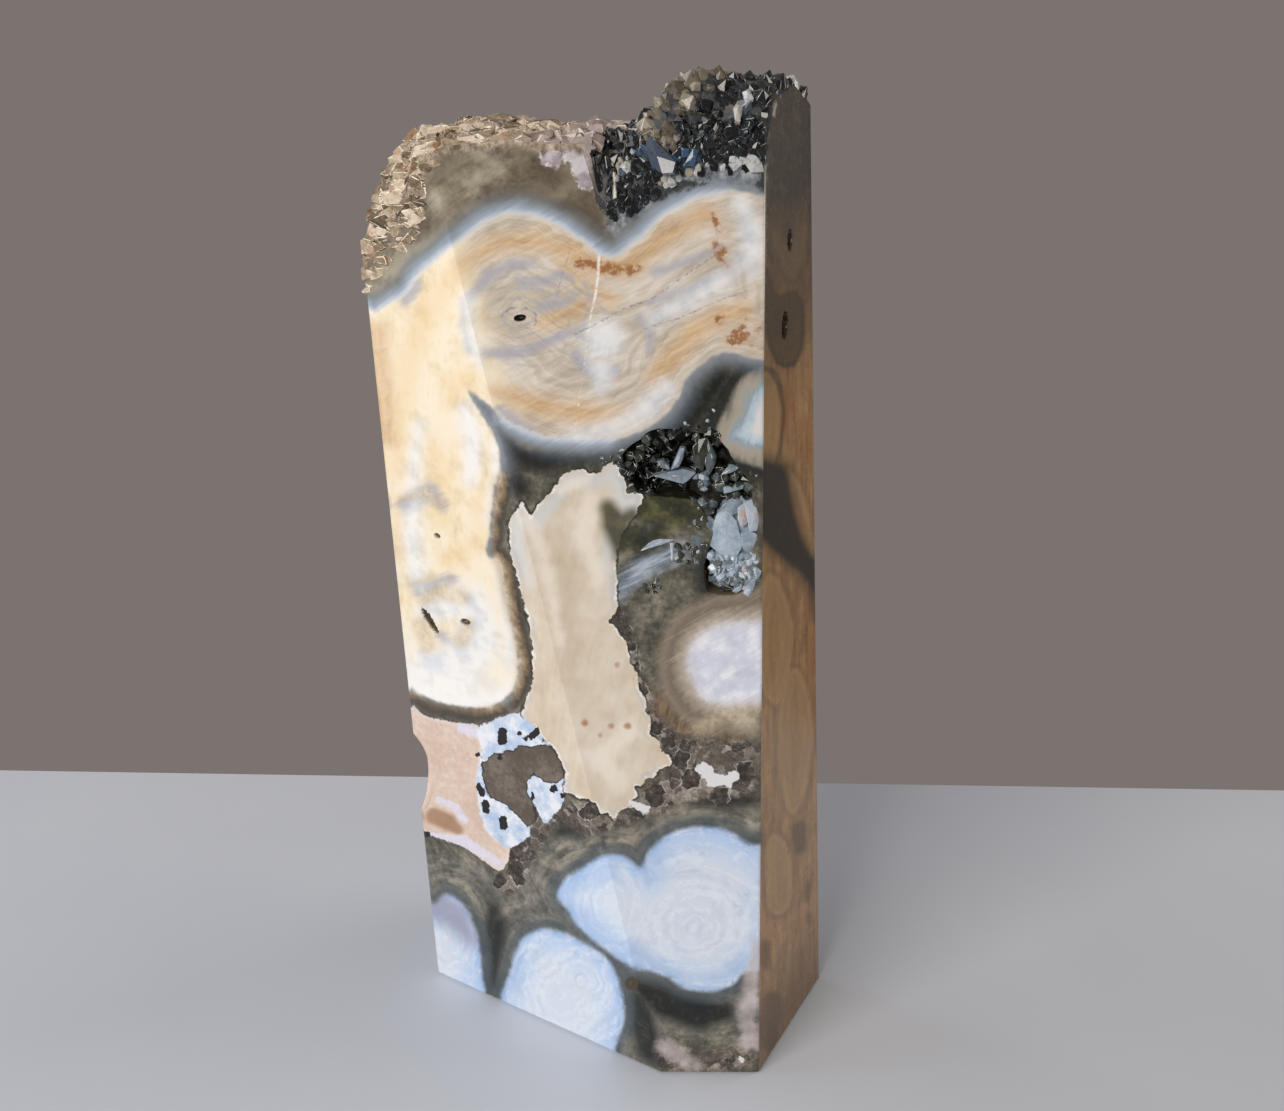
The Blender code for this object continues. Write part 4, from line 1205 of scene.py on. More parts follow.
def make_lumps_and_points(lump_finishes, point_finishes):
    """The natural top's broken cream lumps, and the dark quartz points of its higher lobe."""
    rng = random.Random(GROWTH_SEED)
    shades = random.Random(5)
    lumps, points = Growth(), Growth()

    def add_lump(place, normal, size, sunk, source, clearance, edge):
        made = lump(place - normal * size * sunk, size, source)
        trim_to_walls(made, clearance(source))
        lumps.take(made, shades.random(), edge)

    def add_point(place, normal, source, shake_share, sizes, clearance, edge):
        shake = Vector([source.uniform(-reach, reach) for reach in POINT_SHAKE]) * shake_share
        axis = (normal + shake).normalized()
        length = source.uniform(*sizes[1])
        base = place - axis * length * POINT_SUNK
        made = quartz_point(base, axis, source.uniform(*sizes[0]), length, source.uniform(0, math.pi))
        trim_to_walls(made, clearance(source))
        points.take(made, point_tone(place, shades), edge)

    def inside_walls(source):
        return source.uniform(*WALL_CLEARANCE)

    def proud_of_walls(source):
        return -source.uniform(*PROUD)

    for place in scattered(LUMP_SPACING, rng, -34.0, STEP_FROM):
        size = rng.uniform(*LUMP_SIZE)
        add_lump(place, surface_normal(place.x, place.y), size, LUMP_SUNK, rng, inside_walls, 0.09)
    for place in scattered(POINT_SPACING, rng, STEP_FROM + 1.0, 27.0):
        add_point(
            place, surface_normal(place.x, place.y), rng, 1.0, (POINT_RADIUS, POINT_LENGTH), inside_walls, 0.06
        )
    small = random.Random(21)
    for place in scattered(SMALL_LUMP_SPACING, small, -34.0, STEP_FROM + 0.5):
        size = small.uniform(*SMALL_LUMP_SIZE)
        add_lump(place, surface_normal(place.x, place.y), size, 0.35, small, inside_walls, 0.06)
    for place in scattered(SMALL_POINT_SPACING, small, STEP_FROM + 0.4, 27.5):
        normal = surface_normal(place.x, place.y)
        add_point(place, normal, small, 1.3, (SMALL_POINT_RADIUS, SMALL_POINT_LENGTH), inside_walls, 0.04)
    for x, y in pixels_in(ROUGH_SHOULDER, 8.0, small):
        place, normal = stone_under(x, y)
        add_lump(place, normal, small.uniform(0.9, 2.1), 0.6, small, proud_of_walls, 0.08)
    for x, y in pixels_in(DRUSE, 7.5, small):
        place, normal = stone_under(x, y)
        lift = (normal + Vector((0, 0, 0.5))).normalized()
        add_point(place, lift, small, 1.6, ((0.45, 1.0), (1.4, 2.4)), proud_of_walls, 0.04)
    for outline_points, out, tilt, crest, tone in TOP_SHARDS:
        made = shard(outline_points, out, tilt, crest, 2.2)
        (points if tone > 1.5 else lumps).take(made, tone % 1.0, 0.08)
    lumps.piece("rough_lumps", lump_finishes, "jasper")
    points.piece("dark_quartz_points", point_finishes, "jasper")


def point_tone(place, shades):
    """Dark quartz is mostly near black: some points are blue or pale, and the knob is brown-grey."""
    at, _ = seen_at([place])
    draw = shades.random()
    if depth_in_strokes(at, KNOB_PALE)[0] > 0:
        return 0.81 + 0.12 * draw
    if depth_in_strokes(at, PALE_ROOTS)[0] > 0 and draw > 0.35:
        return 0.9 + 0.1 * draw
    if depth_in_strokes(at, BLUE_POINTS)[0] > 0 and draw > 0.3:
        return 0.68 + 0.08 * draw
    # About one point in thirty is pale: a painted glint among the dark crystals.
    return 1.0 if draw > 0.97 else 0.62 * draw


def shard(outline_points, out, tilt, crest, thick):
    """A flat crystal on the stone: its outline in pixels, how far it stands out, and how its faces tip."""
    middle = np.mean(np.array(outline_points, float), axis=0)
    place, normal = stone_under(*middle)
    side = Vector((0, 0, 1)).cross(normal).normalized()
    rise = normal.cross(side)
    facing = (normal + side * tilt[0] + rise * tilt[1]).normalized()
    centre = place + normal * out
    start = Vector(CAMERA_PLACE)
    rim = []
    for x, y in outline_points:
        way = sight_line(x, y)
        rim.append(start + way * ((centre - start).dot(facing) / way.dot(facing)))
    root = [p + (p - centre) * 0.06 - normal * thick for p in rim]
    return hull_of(rim + root + [centre + facing * crest])


def make_hollow_crystals(finishes):
    """The crystals that line the hollow: the large ones by their outlines, small ones between."""
    rng = random.Random(CRUST_SEED)
    grown = Growth()
    for outline_points, out, tilt, crest, tone in HOLLOW_SHARDS:
        grown.take(shard(outline_points, out, tilt, crest, 1.6), tone, 0.08)
    for outline_points, spacing, depth, sizes, tones in HOLLOW_SPRAYS:
        for x, y in pixels_in(outline_points, spacing, rng):
            place, normal = stone_under(x, y)
            axis = (normal + Vector([rng.uniform(-0.9, 0.9) for _ in range(3)])).normalized()
            length = rng.uniform(*sizes) * 2.4
            base = place - normal * depth - axis * length * 0.5
            made = quartz_point(base, axis, rng.uniform(*sizes), length, rng.uniform(0, math.pi))
            grown.take(made, rng.uniform(*tones), 0.04)
    crystals = grown.piece("hollow_crystals", finishes, "quartz_crystals")
    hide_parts("crystal_crust")


def colour(code):
    """A written colour as the linear numbers that shaders take."""
    parts = [int(code[i : i + 2], 16) / 255 for i in (0, 2, 4)]
    return tuple(p / 12.92 if p <= 0.04045 else ((p + 0.055) / 1.055) ** 2.4 for p in parts) + (1.0,)


class Wire:
    """A socket of a material, with operators that add Math nodes behind it."""

    def __init__(self, tree, socket):
        self.tree, self.socket = tree, socket

    def maths(self, operation, *values):
        return add_node(self.tree, "ShaderNodeMath", {"operation": operation}, dict(enumerate(values)))

    def __add__(self, other):
        return self.maths("ADD", self, other)

    __radd__ = __add__

    def __sub__(self, other):
        return self.maths("SUBTRACT", self, other)

    def __rsub__(self, other):
        return self.maths("SUBTRACT", other, self)

    def __mul__(self, other):
        return self.maths("MULTIPLY", self, other)

    __rmul__ = __mul__

    def __truediv__(self, other):
        return self.maths("DIVIDE", self, other)

    def __abs__(self):
        return self.maths("ABSOLUTE", self)

    def __pow__(self, other):
        return self.maths("POWER", self, other)


def add_node(tree, kind, settings=None, sockets=None, out=0):
    """Any node: its settings first, then its sockets' values or links. Returns the output that is asked for."""
    node = tree.nodes.new(kind)
    for name, value in (settings or {}).items():
        if name == "stops":
            set_stops(node.color_ramp, value)
        else:
            setattr(node, name, value)
    for name, value in (sockets or {}).items():
        socket = node.inputs[name]
        if isinstance(value, Wire):
            tree.links.new(value.socket, socket)
        else:
            socket.default_value = value
    return Wire(tree, node.outputs[out])


def set_stops(ramp, stops):
    while len(ramp.elements) > 1:
        ramp.elements.remove(ramp.elements[-1])
    ramp.elements[0].position, ramp.elements[0].color = stops[0]
    for position, shade in stops[1:]:
        ramp.elements.new(position).color = shade


class Finish:
    """One material: its tree, and the few shapes of noise and mixing that the stone's finishes share."""

    def __init__(self, name):
        self.material = bpy.data.materials.new(name)
        self.material.use_nodes = True
        self.tree = self.material.node_tree
        self.shader = self.tree.nodes["Principled BSDF"]
        place = self.node("ShaderNodeTexCoord", out="Object")
        self.place = self.scaled(place, 1 / MM)

    def node(self, kind, settings=None, sockets=None, out=0):
        return add_node(self.tree, kind, settings, sockets, out)

    def scaled(self, vector, factor):
        return self.node("ShaderNodeVectorMath", {"operation": "SCALE"}, {"Vector": vector, "Scale": factor})

    def moved(self, vector, other):
        return self.node("ShaderNodeVectorMath", {"operation": "ADD"}, {0: vector, 1: other})

    def stretched(self, rise, sizes):
        """The place for streaks that climb at an angle: their length, depth and thickness."""
        return self.node(
            "ShaderNodeMapping",
            {"vector_type": "TEXTURE"},
            {"Vector": self.place, "Rotation": (0.0, -math.radians(rise), 0.0), "Scale": sizes},
        )

    def part(self, vector, axis):
        return self.node("ShaderNodeSeparateXYZ", {}, {"Vector": vector}, axis)

    def joined(self, x, y, z):
        return self.node("ShaderNodeCombineXYZ", {}, {"X": x, "Y": y, "Z": z})

    def noise(self, size, detail=3.0, rough=0.55, place=None, out="Fac"):
        """Soft noise from 0 to 1, with lumps of a size in millimetres."""
        return self.node(
            "ShaderNodeTexNoise",
            {},
            {"Vector": place or self.place, "Scale": 1 / size, "Detail": detail, "Roughness": rough},
            out,
        )

    def cells(self, size, feature="F1", out="Distance", place=None):
        sockets = {"Vector": place or self.place, "Scale": 1 / size}
        return self.node("ShaderNodeTexVoronoi", {"feature": feature}, sockets, out)

    def kept(self, name):
        """What draw_on kept on the points."""
        return self.node("ShaderNodeAttribute", {"attribute_name": name}, out="Fac")

    def step(self, value, low, high):
        """0 below low, 1 above high, and smooth between."""
        return self.node(
            "ShaderNodeMapRange",
            {"interpolation_type": "SMOOTHSTEP", "clamp": True},
            {"Value": value, "From Min": low, "From Max": high},
        )

    def share(self, value, low, high):
        """0 at low and 1 at high, straight between."""
        return self.node(
            "ShaderNodeMapRange", {"clamp": True}, {"Value": value, "From Min": low, "From Max": high}
        )

    def band(self, value, low, high, soft):
        """1 between low and high."""
        return self.step(value, low - soft, low + soft) * (1 - self.step(value, high - soft, high + soft))

    def mixed(self, under, over, share, how="MIX"):
        """Two colours mixed: a colour is written as a code or is a wire."""
        under = colour(under) if isinstance(under, str) else under
        over = colour(over) if isinstance(over, str) else over
        settings = {"data_type": "RGBA", "blend_type": how}
        return self.node("ShaderNodeMix", settings, {0: share, 6: under, 7: over}, 2)

    def ramp(self, value, *stops):
        settings = {"stops": [(position, colour(code)) for position, code in stops]}
        return self.node("ShaderNodeValToRGB", settings, {"Fac": value}, "Color")

    def set(self, **constants):
        for name, value in constants.items():
            self.shader.inputs[name.replace("_", " ")].default_value = value

    def drive(self, name, wire):
        self.tree.links.new(wire.socket, self.shader.inputs[name])

    def bump(self, height, distance, strength=1.0):
        normal = self.node(
            "ShaderNodeBump", {}, {"Height": height, "Distance": distance * MM, "Strength": strength}, "Normal"
        )
        self.drive("Normal", normal)


def polished_jasper():
    """The polished front, back and left walls."""
    f = Finish("polished_jasper")
    cloud = f.noise(9.0, 3)
    lumps = f.noise(3.2, 4)
    fine = f.noise(1.0, 5, 0.62)
    grit = f.noise(0.3, 3, 0.7)
    flow = f.noise(1.0, 5, 0.6, place=f.stretched(27, (6.0, 4.0, 0.8)))
    growth = f.noise(1.0, 4, 0.6, place=f.stretched(34, (9.0, 4.0, 0.45)))
    hang = f.noise(1.0, 5, 0.6, place=f.stretched(80, (7.0, 4.0, 1.0)))
    sway = (lumps - 0.5) * 1.6
    fray = (fine - 0.5) * 1.0
    jag = f.cells(1.3) - 0.45
    small_jag = f.cells(0.6) - 0.45
    across, height = f.part(f.place, "X"), f.part(f.place, "Z")

    crown = f.kept("crown") + sway * 0.45 + fray * 0.5
    boot = f.kept("boot") + jag * 0.5 + small_jag * 0.3
    blush = f.kept("blush") + sway * 0.2 + small_jag * 0.35
    frost = f.kept("frost") + jag * 0.4 + small_jag * 0.4
    window = f.kept("quartz_window") + jag * 0.4 + small_jag * 0.25
    orbs = f.kept("orbs") + sway * 0.35 + fray * 0.4
    right_orb = f.kept("right_orb") + sway * 0.9 + fray * 0.7
    edge_orb = f.kept("edge_orb") + sway * 0.5 + fray * 0.5

    def wash(name, soft, wander=1.0, streaks=None, pull=2.2):
        depth = f.kept(name) + (sway + fray) * wander
        if streaks:
            depth = depth + (streaks - 0.5) * pull
        return f.step(depth, -soft, soft)

    # Quartz between the bodies: grey and olive, gritty, darker in its depths.
    quartz_tone = fine * 0.35 + grit * 0.1 + lumps * 0.25 + cloud * 0.3
    quartz = f.ramp(
        quartz_tone, (0.36, "24261f"), (0.45, "44443a"), (0.52, "615e52"), (0.6, "837d6e"), (0.68, "a79f8b")
    )
    layers = f.noise(1.0, 4, 0.65, place=f.joined(crown * 0.9 + sway, cloud * 1.5, 0.0))
    high = f.ramp(
        growth * 0.12 + layers * 0.2 + fine * 0.2 + lumps * 0.28 + cloud * 0.2,
        (0.38, "4f463a"), (0.46, "6d6455"), (0.52, "7d7564"), (0.58, "8c8472"), (0.66, "a49b88"),
    )
    high = f.mixed(high, "bdb7a2", wash("haze", 1.6, 1.2, growth, 1.0) * 0.55)
    high = f.mixed(high, "4a3d30", wash("umber_top", 2.0, 1.4, growth, 2.0) * 0.65)
    facets = f.kept("lilac_facets") + (lumps - 0.5) * 1.4 + small_jag * 0.8
    high = f.mixed(high, f.ramp(lumps, (0.38, "8f8890"), (0.5, "aca6ae"), (0.6, "cbc7cf")), f.step(facets, -0.5, 0.6) * 0.9)
    high = f.mixed(high, "e4e0e2", f.band(facets, -0.1, 0.35, 0.15) * f.step(fine, 0.45, 0.6) * 0.7)
    quartz = f.mixed(quartz, high, f.step(height + sway * 2, 122, 132))
    silk = f.noise(1.0, 4, 0.55, place=f.joined(orbs * 0.8, across * 0.16 + lumps * 2, height * 0.16))
    silky = f.ramp(silk * 0.45 + lumps * 0.3 + fine * 0.25, (0.38, "474945"), (0.47, "65655f"), (0.54, "7e7b73"), (0.63, "9e998f"))
    quartz = f.mixed(quartz, silky, f.step(orbs + cloud * 4, -8.0, -3.5) * (1 - f.step(height, 46, 56)) * 0.9)
    quartz = f.mixed(quartz, "b5ae9c", wash("chalk", 2.0, 1.3) * f.step(silk * 0.5 + lumps * 0.5, 0.4, 0.64) * 0.7)
    night = wash("night", 1.2)
    root = f.ramp(fine * 0.6 + grit * 0.4, (0.4, "131719"), (0.55, "2f373c"), (0.68, "6c7478"))
    pale_root = f.ramp(fine * 0.5 + lumps * 0.5, (0.4, "4c555c"), (0.5, "7d868d"), (0.6, "b4b9bc"))
    root = f.mixed(root, pale_root, f.step(f.kept("crown") + sway + fray * 2, -5.0, -1.8))
    quartz = f.mixed(quartz, root, night)
    murk = wash("murk", 1.6)
    quartz = f.mixed(quartz, f.ramp(lumps * 0.5 + fine * 0.5, (0.4, "090b08"), (0.52, "171a14"), (0.64, "36382c")), murk)
    quartz = f.mixed(quartz, f.ramp(lumps * 0.7 + fine * 0.3, (0.38, "1c1e0e"), (0.5, "35361b"), (0.62, "5a5833")), wash("olive", 1.4))
    quartz = f.mixed(quartz, f.ramp(hang, (0.4, "5b4a36"), (0.6, "8c755a")), wash("umber", 0.9, 0.8))
    quartz = f.mixed(quartz, f.ramp(flow, (0.38, "60707c"), (0.52, "8a9bad"), (0.62, "b4c2d2")), wash("steel", 1.6, 1.0, flow, 1.0) * 0.85)

    # Polished quartz grains with pale seams.
    warped = f.moved(f.place, f.scaled(f.noise(1.6, 3, out="Color"), 1.6))
    seam = f.cells(2.0, "DISTANCE_TO_EDGE", place=warped)
    tone = f.part(f.cells(2.0, "F1", "Color", place=warped), "X")
    grains = f.ramp(
        tone * 0.45 + fine * 0.6, (0.24, "27231e"), (0.4, "413a32"), (0.55, "60584e"), (0.7, "857d73"), (0.85, "b0aaa3")
    )
    grains = f.mixed(grains, "9a958e", f.step(grit, 0.52, 0.7) * 0.5)
    grains = f.mixed(grains, "cfccd0", (1 - f.step(seam, 0.0, 0.06)) * f.step(fine + lumps, 0.95, 1.2) * 0.4)
    stone = f.mixed(quartz, grains, wash("grains", 0.9, 1.2))
    lump = f.kept("dark_quartz") + jag * 0.9 + small_jag * 0.4
    stone = f.mixed(stone, f.ramp(fine, (0.4, "241f19"), (0.6, "4e453c"), (0.7, "7a7067")), f.step(lump, -0.12, 0.12))
    stone = f.mixed(stone, "c9c7c9", f.band(lump, -0.22, -0.08, 0.06) * f.step(lumps, 0.45, 0.6) * 0.6)

    # Brown shells of the right orb, then its pale core.
    shell = f.ramp(
        f.share(right_orb + (growth - 0.5) * 1.6 + (fine - 0.5) * 1.2, -8.0, 0.0),
        (0.0, "3f392f"), (0.2, "5c5345"), (0.42, "85796a"), (0.58, "73695b"), (0.72, "93897a"), (0.86, "b0a89d"),
        (1.0, "d0cfd4"),
    )
    shell = f.mixed(shell, "bfb39b", f.step(growth, 0.54, 0.7) * 0.3)
    stone = f.mixed(stone, shell, f.step(right_orb, -6.8, -4.2))
    core = f.ramp(lumps * 0.8 + growth * 0.2, (0.38, "c3c8da"), (0.5, "d0d6e6"), (0.62, "e6eaf3"))
    stone = f.mixed(stone, core, f.step(right_orb + (growth - 0.5) * 1.2, -1.2, 1.6))
    cream_patch = f.ramp(lumps * 0.5 + fine * 0.5, (0.4, "a79a80"), (0.6, "cdc3ab"))
    stone = f.mixed(stone, cream_patch, wash("cream_patch", 1.5, 1.4) * 0.75)

    # White and blue orbs with fine rings.
    rings = f.kept("orb_rings") + sway * 2.2 + fray * 0.8
    swirl = f.noise(1.0, 5, 0.6, place=f.joined(rings * 0.65, cloud * 5.0, lumps * 2.2))
    body = f.ramp(
        f.share(orbs + sway * 1.2, -0.2, 6.5),
        (0.0, "86a3ca"), (0.08, "9cbbe4"), (0.22, "b3cdf0"), (0.5, "c3d6f0"), (0.8, "cddcf0"), (1.0, "d2deee"),
    )
    body = f.mixed(body, "e6eef8", f.step(swirl, 0.44, 0.68) * 0.6)
    body = f.mixed(body, "a9bac9", (1 - f.step(swirl, 0.32, 0.48)) * f.step(cloud, 0.4, 0.55) * 0.45)
    body = f.mixed(body, "cfbcc0", f.band(swirl, 0.5, 0.53, 0.02) * f.step(lumps, 0.5, 0.62) * 0.3)
    body = f.mixed(body, "98b9e6", wash("orb_blue", 2.0) * 0.5)
    body = f.mixed(body, "9799b2", wash("orb_grey", 2.0) * 0.85)
    stone = f.mixed(stone, "46545c", f.band(orbs, -1.8, 0.1, 0.9) * 0.65)
    stone = f.mixed(stone, body, f.step(orbs, -0.5, 0.6))

    milky = f.ramp(lumps * 0.6 + cloud * 0.4, (0.38, "9b9493"), (0.5, "b8b0b0"), (0.62, "cdc6c8"))
    stone = f.mixed(stone, milky, wash("wedge", 1.0) * 0.75)

    # The orb on the right edge: beige, blue, white.
    edge_body = f.ramp(
        f.share(edge_orb + (hang - 0.5) * 3.0 + sway, 0.0, 6.5),
        (0.0, "77756c"), (0.12, "9b9588"), (0.3, "a39f95"), (0.42, "8d9fa9"), (0.58, "b4c6d4"), (0.8, "d6d6d6"),
    )
    stone = f.mixed(stone, "22251f", f.band(edge_orb, -1.2, 0.0, 0.5) * 0.85)
    stone = f.mixed(stone, edge_body, f.step(edge_orb, -0.35, 0.45))

    # The pink body, its lens and its lilac border.
    pink = f.ramp(cloud * 0.5 + fine * 0.5, (0.4, "cdb8aa"), (0.52, "d8c5b8"), (0.62, "e2d4c9"))
    pink = f.mixed(pink, "e9e4ea", f.band(blush, 0.0, 0.5, 0.4) * 0.55)
    pink = f.mixed(pink, f.mixed("96755a", "b7957a", lumps), wash("lens", 0.6, 0.5))
    pink = f.mixed(pink, f.mixed("c9c6dd", "ebe8f3", fine), wash("lilac_edge", 0.35, 0.8))
    stone = f.mixed(stone, pink, f.step(blush, -0.1, 0.14))

    # White and blue frost with small black crystals, and the brown window in it.
    ice = f.ramp(lumps * 0.7 + fine * 0.3, (0.38, "a5bfe2"), (0.5, "c6d6ec"), (0.6, "e6ecf5"))
    stone = f.mixed(stone, ice, f.step(frost, -0.08, 0.12))
    glass = f.ramp(cloud * 0.5 + fine * 0.3 + grit * 0.2, (0.38, "4a423a"), (0.5, "5b5249"), (0.62, "7b7268"))
    stone = f.mixed(stone, "26211c", f.band(window, -0.1, 0.22, 0.1))
    stone = f.mixed(stone, glass, f.step(window, 0.0, 0.25))

    # The cream boot with its crystalline edge and dark soft window.
    cream = f.ramp(
        cloud * 0.5 + hang * 0.2 + lumps * 0.3, (0.36, "c2b49c"), (0.46, "cec2ae"), (0.55, "d7cdbd"), (0.66, "dfd9ce")
    )
    cream = f.mixed(cream, "b09678", wash("boot_streak", 1.4, 0.8) * 0.26)
    cream = f.mixed(cream, "c9d0d4", f.band(boot, 0.2, 2.4, 1.0) * f.step(height + sway, 84, 96) * 0.7)
    cream = f.mixed(cream, "ece6da", wash("boot_light", 1.0) * 0.6)
    cream = f.mixed(cream, "f1f1f0", f.band(boot, 0.0, 0.35, 0.2) * f.step(lumps + fine, 0.93, 1.12) * 0.7)
    cream = f.mixed(cream, "a8b4c0", f.band(boot, 0.25, 0.9, 0.3) * f.step(cloud, 0.5, 0.6) * 0.4)
    soft_window = f.step(f.kept("boot_window") + sway * 0.4, -0.9, 1.1)
    cream = f.mixed(cream, f.ramp(lumps, (0.4, "3a3722"), (0.6, "5a5438")), soft_window * 0.95)
    cream = f.mixed(cream, "a3612b", wash("rust", 0.35, 0.5) * 0.8)
    stone = f.mixed(stone, "1e1a15", f.band(boot, -0.35, 0.0, 0.12) * f.step(lumps, 0.42, 0.55) * 0.8)
    stone = f.mixed(stone, cream, f.step(boot, -0.05, 0.08))

    # The great body of the crown and its column.
    eye = f.kept("great_eye") + sway * 1.1 + fray * 0.6
    eye_wave = f.node("ShaderNodeMath", {"operation": "SINE"}, {0: eye * 4.4 + flow * 3})
    inner = f.ramp(
        flow * 0.28 + layers * 0.37 + cloud * 0.35,
        (0.38, "a9a196"), (0.46, "bfb5a6"), (0.53, "cfc7ba"), (0.6, "dbd6cf"), (0.68, "c9cbd0"),
    )
    inner = f.mixed(inner, "9fa2ad", f.step(eye_wave * 0.5 + fine, 0.72, 1.1) * (1 - f.step(eye, 6.0, 9.0)) * 0.5)
    column = f.ramp(
        hang * 0.15 + cloud * 0.35 + lumps * 0.35 + fine * 0.15,
        (0.38, "dccba8"), (0.45, "e8dabc"), (0.52, "efe5cf"), (0.6, "ece2cf"), (0.68, "ddd8cf"),
    )
    inner = f.mixed(column, inner, f.step(height * 0.279 + across, 22.0, 27.0))
    amber = f.ramp(flow * 0.5 + layers * 0.5, (0.38, "b88e5c"), (0.5, "c9a473"), (0.6, "d9bd92"), (0.7, "c0a888"))
    inner = f.mixed(inner, f.mixed("dfc08a", "eedcb2", lumps), wash("honey", 1.8, 1.2, hang, 1.0) * 0.52)
    inner = f.mixed(inner, amber, wash("amber", 1.8, 1.0, flow) * 0.8)
    inner = f.mixed(inner, f.mixed("8e90a2", "b3b5c2", fine), wash("slate", 0.8, 0.9, flow) * 0.75)
    inner = f.mixed(inner, f.ramp(lumps, (0.36, "cad6e4"), (0.56, "e9eef3")), wash("milk", 1.8, 1.1, flow, 1.2) * 0.75)
    white_end = (1 - f.step(height + sway * 3, 62, 80)) * (1 - f.step(across, -14.0, -8.0))
    inner = f.mixed(inner, f.ramp(lumps, (0.4, "e6ebf0"), (0.55, "f3f4f3")), white_end * 0.85)
    inner = f.mixed(inner, f.ramp(fine * 0.5 + lumps * 0.5, (0.4, "b09c78"), (0.6, "dccdac")), wash("stain", 0.9, 1.5) * 0.6)
    inner = f.mixed(inner, "7c7e86", f.step(f.kept("grey_lines") + fray * 0.35, -0.12, 0.05) * f.step(fine, 0.4, 0.5) * 0.6)
    rust = f.mixed("945a2a", "663818", fine)
    inner = f.mixed(inner, rust, wash("rust", 0.4, 2.0, flow, 1.0) * f.step(fine, 0.4, 0.52) * 0.9)
    inner = f.mixed(inner, "b98a58", wash("rust", 2.2, 1.5) * 0.5)
    column_edge = wash("column_rim", 1.0, 0.3)
    inner = f.mixed(inner, "f1f3f4", f.band(crown, -0.4, 1.6, 0.9) * (1 - f.step(height, 60, 84)) * 0.8)
    inner = f.mixed(inner, "b09a7c", column_edge * (1 - f.step(crown, -0.2, 2.4)) * f.step(height + sway, 62, 70) * 0.7)
    rim = crown + (lumps - 0.5) * 1.6 + (fine - 0.5) * 1.2
    edge_shade = f.ramp(
        f.share(rim, -2.3, 0.3), (0.0, "1c1914"), (0.22, "4a4034"), (0.48, "7d6a50"), (0.74, "a3937b"), (1.0, "d6cbb9")
    )
    edge_shade = f.mixed(edge_shade, "4a443c", (1 - f.step(height + sway, 60, 67)) * 0.8)
    stone = f.mixed(stone, edge_shade, column_edge * f.step(rim, -2.6, -1.7) * (1 - f.step(boot, -0.25, 0.0)))
    halo = f.ramp(f.share(crown, -4.0, 0.0), (0.0, "3e4142"), (0.6, "6a7480"), (1.0, "929aa4"))
    stone = f.mixed(stone, halo, f.step(crown, -4.0, 0.0) * (1 - column_edge) * 0.8)
    inner = f.mixed(inner, "f6f5f2", f.step(f.kept("crack") + fray * 0.3 + sway * 0.1, -0.12, 0.1) * 0.72)
    stone = f.mixed(stone, inner, f.step(crown, -0.35, 0.35) * (1 - f.step(boot, -0.05, 0.05)))
    blue = wash("blue_edge", 1.2, 0.6)
    line = f.kept("crown") + (growth - 0.5) * 1.3 + (lumps - 0.5) * 1.0
    blue_band = f.ramp(
        f.share(line, -2.6, 1.2), (0.0, "66665c"), (0.25, "767a78"), (0.45, "848f99"), (0.62, "98a5b4"),
        (0.76, "b8c4d2"), (0.9, "d3d8dd"), (1.0, "d9d0c0"),
    )
    stone = f.mixed(stone, blue_band, blue * f.step(line, -2.6, -0.8) * (1 - f.step(line, 0.4, 1.2)) * 0.95)

    stone = f.mixed(stone, "14110e", f.step(f.kept("specks") + jag * 0.35 + small_jag * 0.4, -0.05, 0.08))
    pale = f.kept("pale_patches") + jag * 0.6 + small_jag * 0.5
    stone = f.mixed(stone, f.mixed("d5d9e2", "f6f6f8", grit), f.step(pale, -0.1, 0.15) * 0.9)
    stone = f.mixed(stone, "40361f", f.band(f.kept("small_eye"), -0.55, 0.25, 0.15))
    # The foot of the natural skin runs a little way down the polished walls.
    cover = f.kept("cover") + sway * 1.6 + fray * 1.6 - 0.6
    skin = f.ramp(fine * 0.6 + lumps * 0.4, (0.4, "57493a"), (0.5, "8a7a66"), (0.6, "b9ab98"), (0.68, "ddd3c4"))
    druse = f.ramp(fine * 0.5 + grit * 0.5, (0.4, "0f1315"), (0.55, "262d31"), (0.68, "5c666c"), (0.76, "aab4bb"))
    skin = f.mixed(skin, druse, f.step(across + sway, 0.5, 1.8))
    bare = 1 - f.step(cover, 0.0, 0.9)
    stone = f.mixed(stone, skin, bare)
    # Sunk places take a colour by depth and height: near black in the hollow and high pits, brown-grey in low pits.
    sunk = f.step(f.kept("sunk"), 0.08, 0.5)
    sunk_colour = f.ramp(fine, (0.4, "0d0e09"), (0.6, "26261b"), (0.7, "46442f"))
    sunk_colour = f.mixed("1a1910", sunk_colour, f.step(f.kept("sunk") + fray * 0.5, 0.4, 1.1))
    sunk_colour = f.mixed("5f5343", sunk_colour, f.step(height + fray * 3, 90.0, 98.0))
    stone = f.mixed(stone, sunk_colour, sunk)

    f.drive("Base Color", stone)
    f.drive("Roughness", 0.16 + grit * 0.1 + sunk * 0.25 + bare * 0.3)
    f.set(IOR=1.54)
    f.bump((fine * 0.5 + grit * 0.5) * (0.04 + bare), 0.35, 0.7)
    return f.material


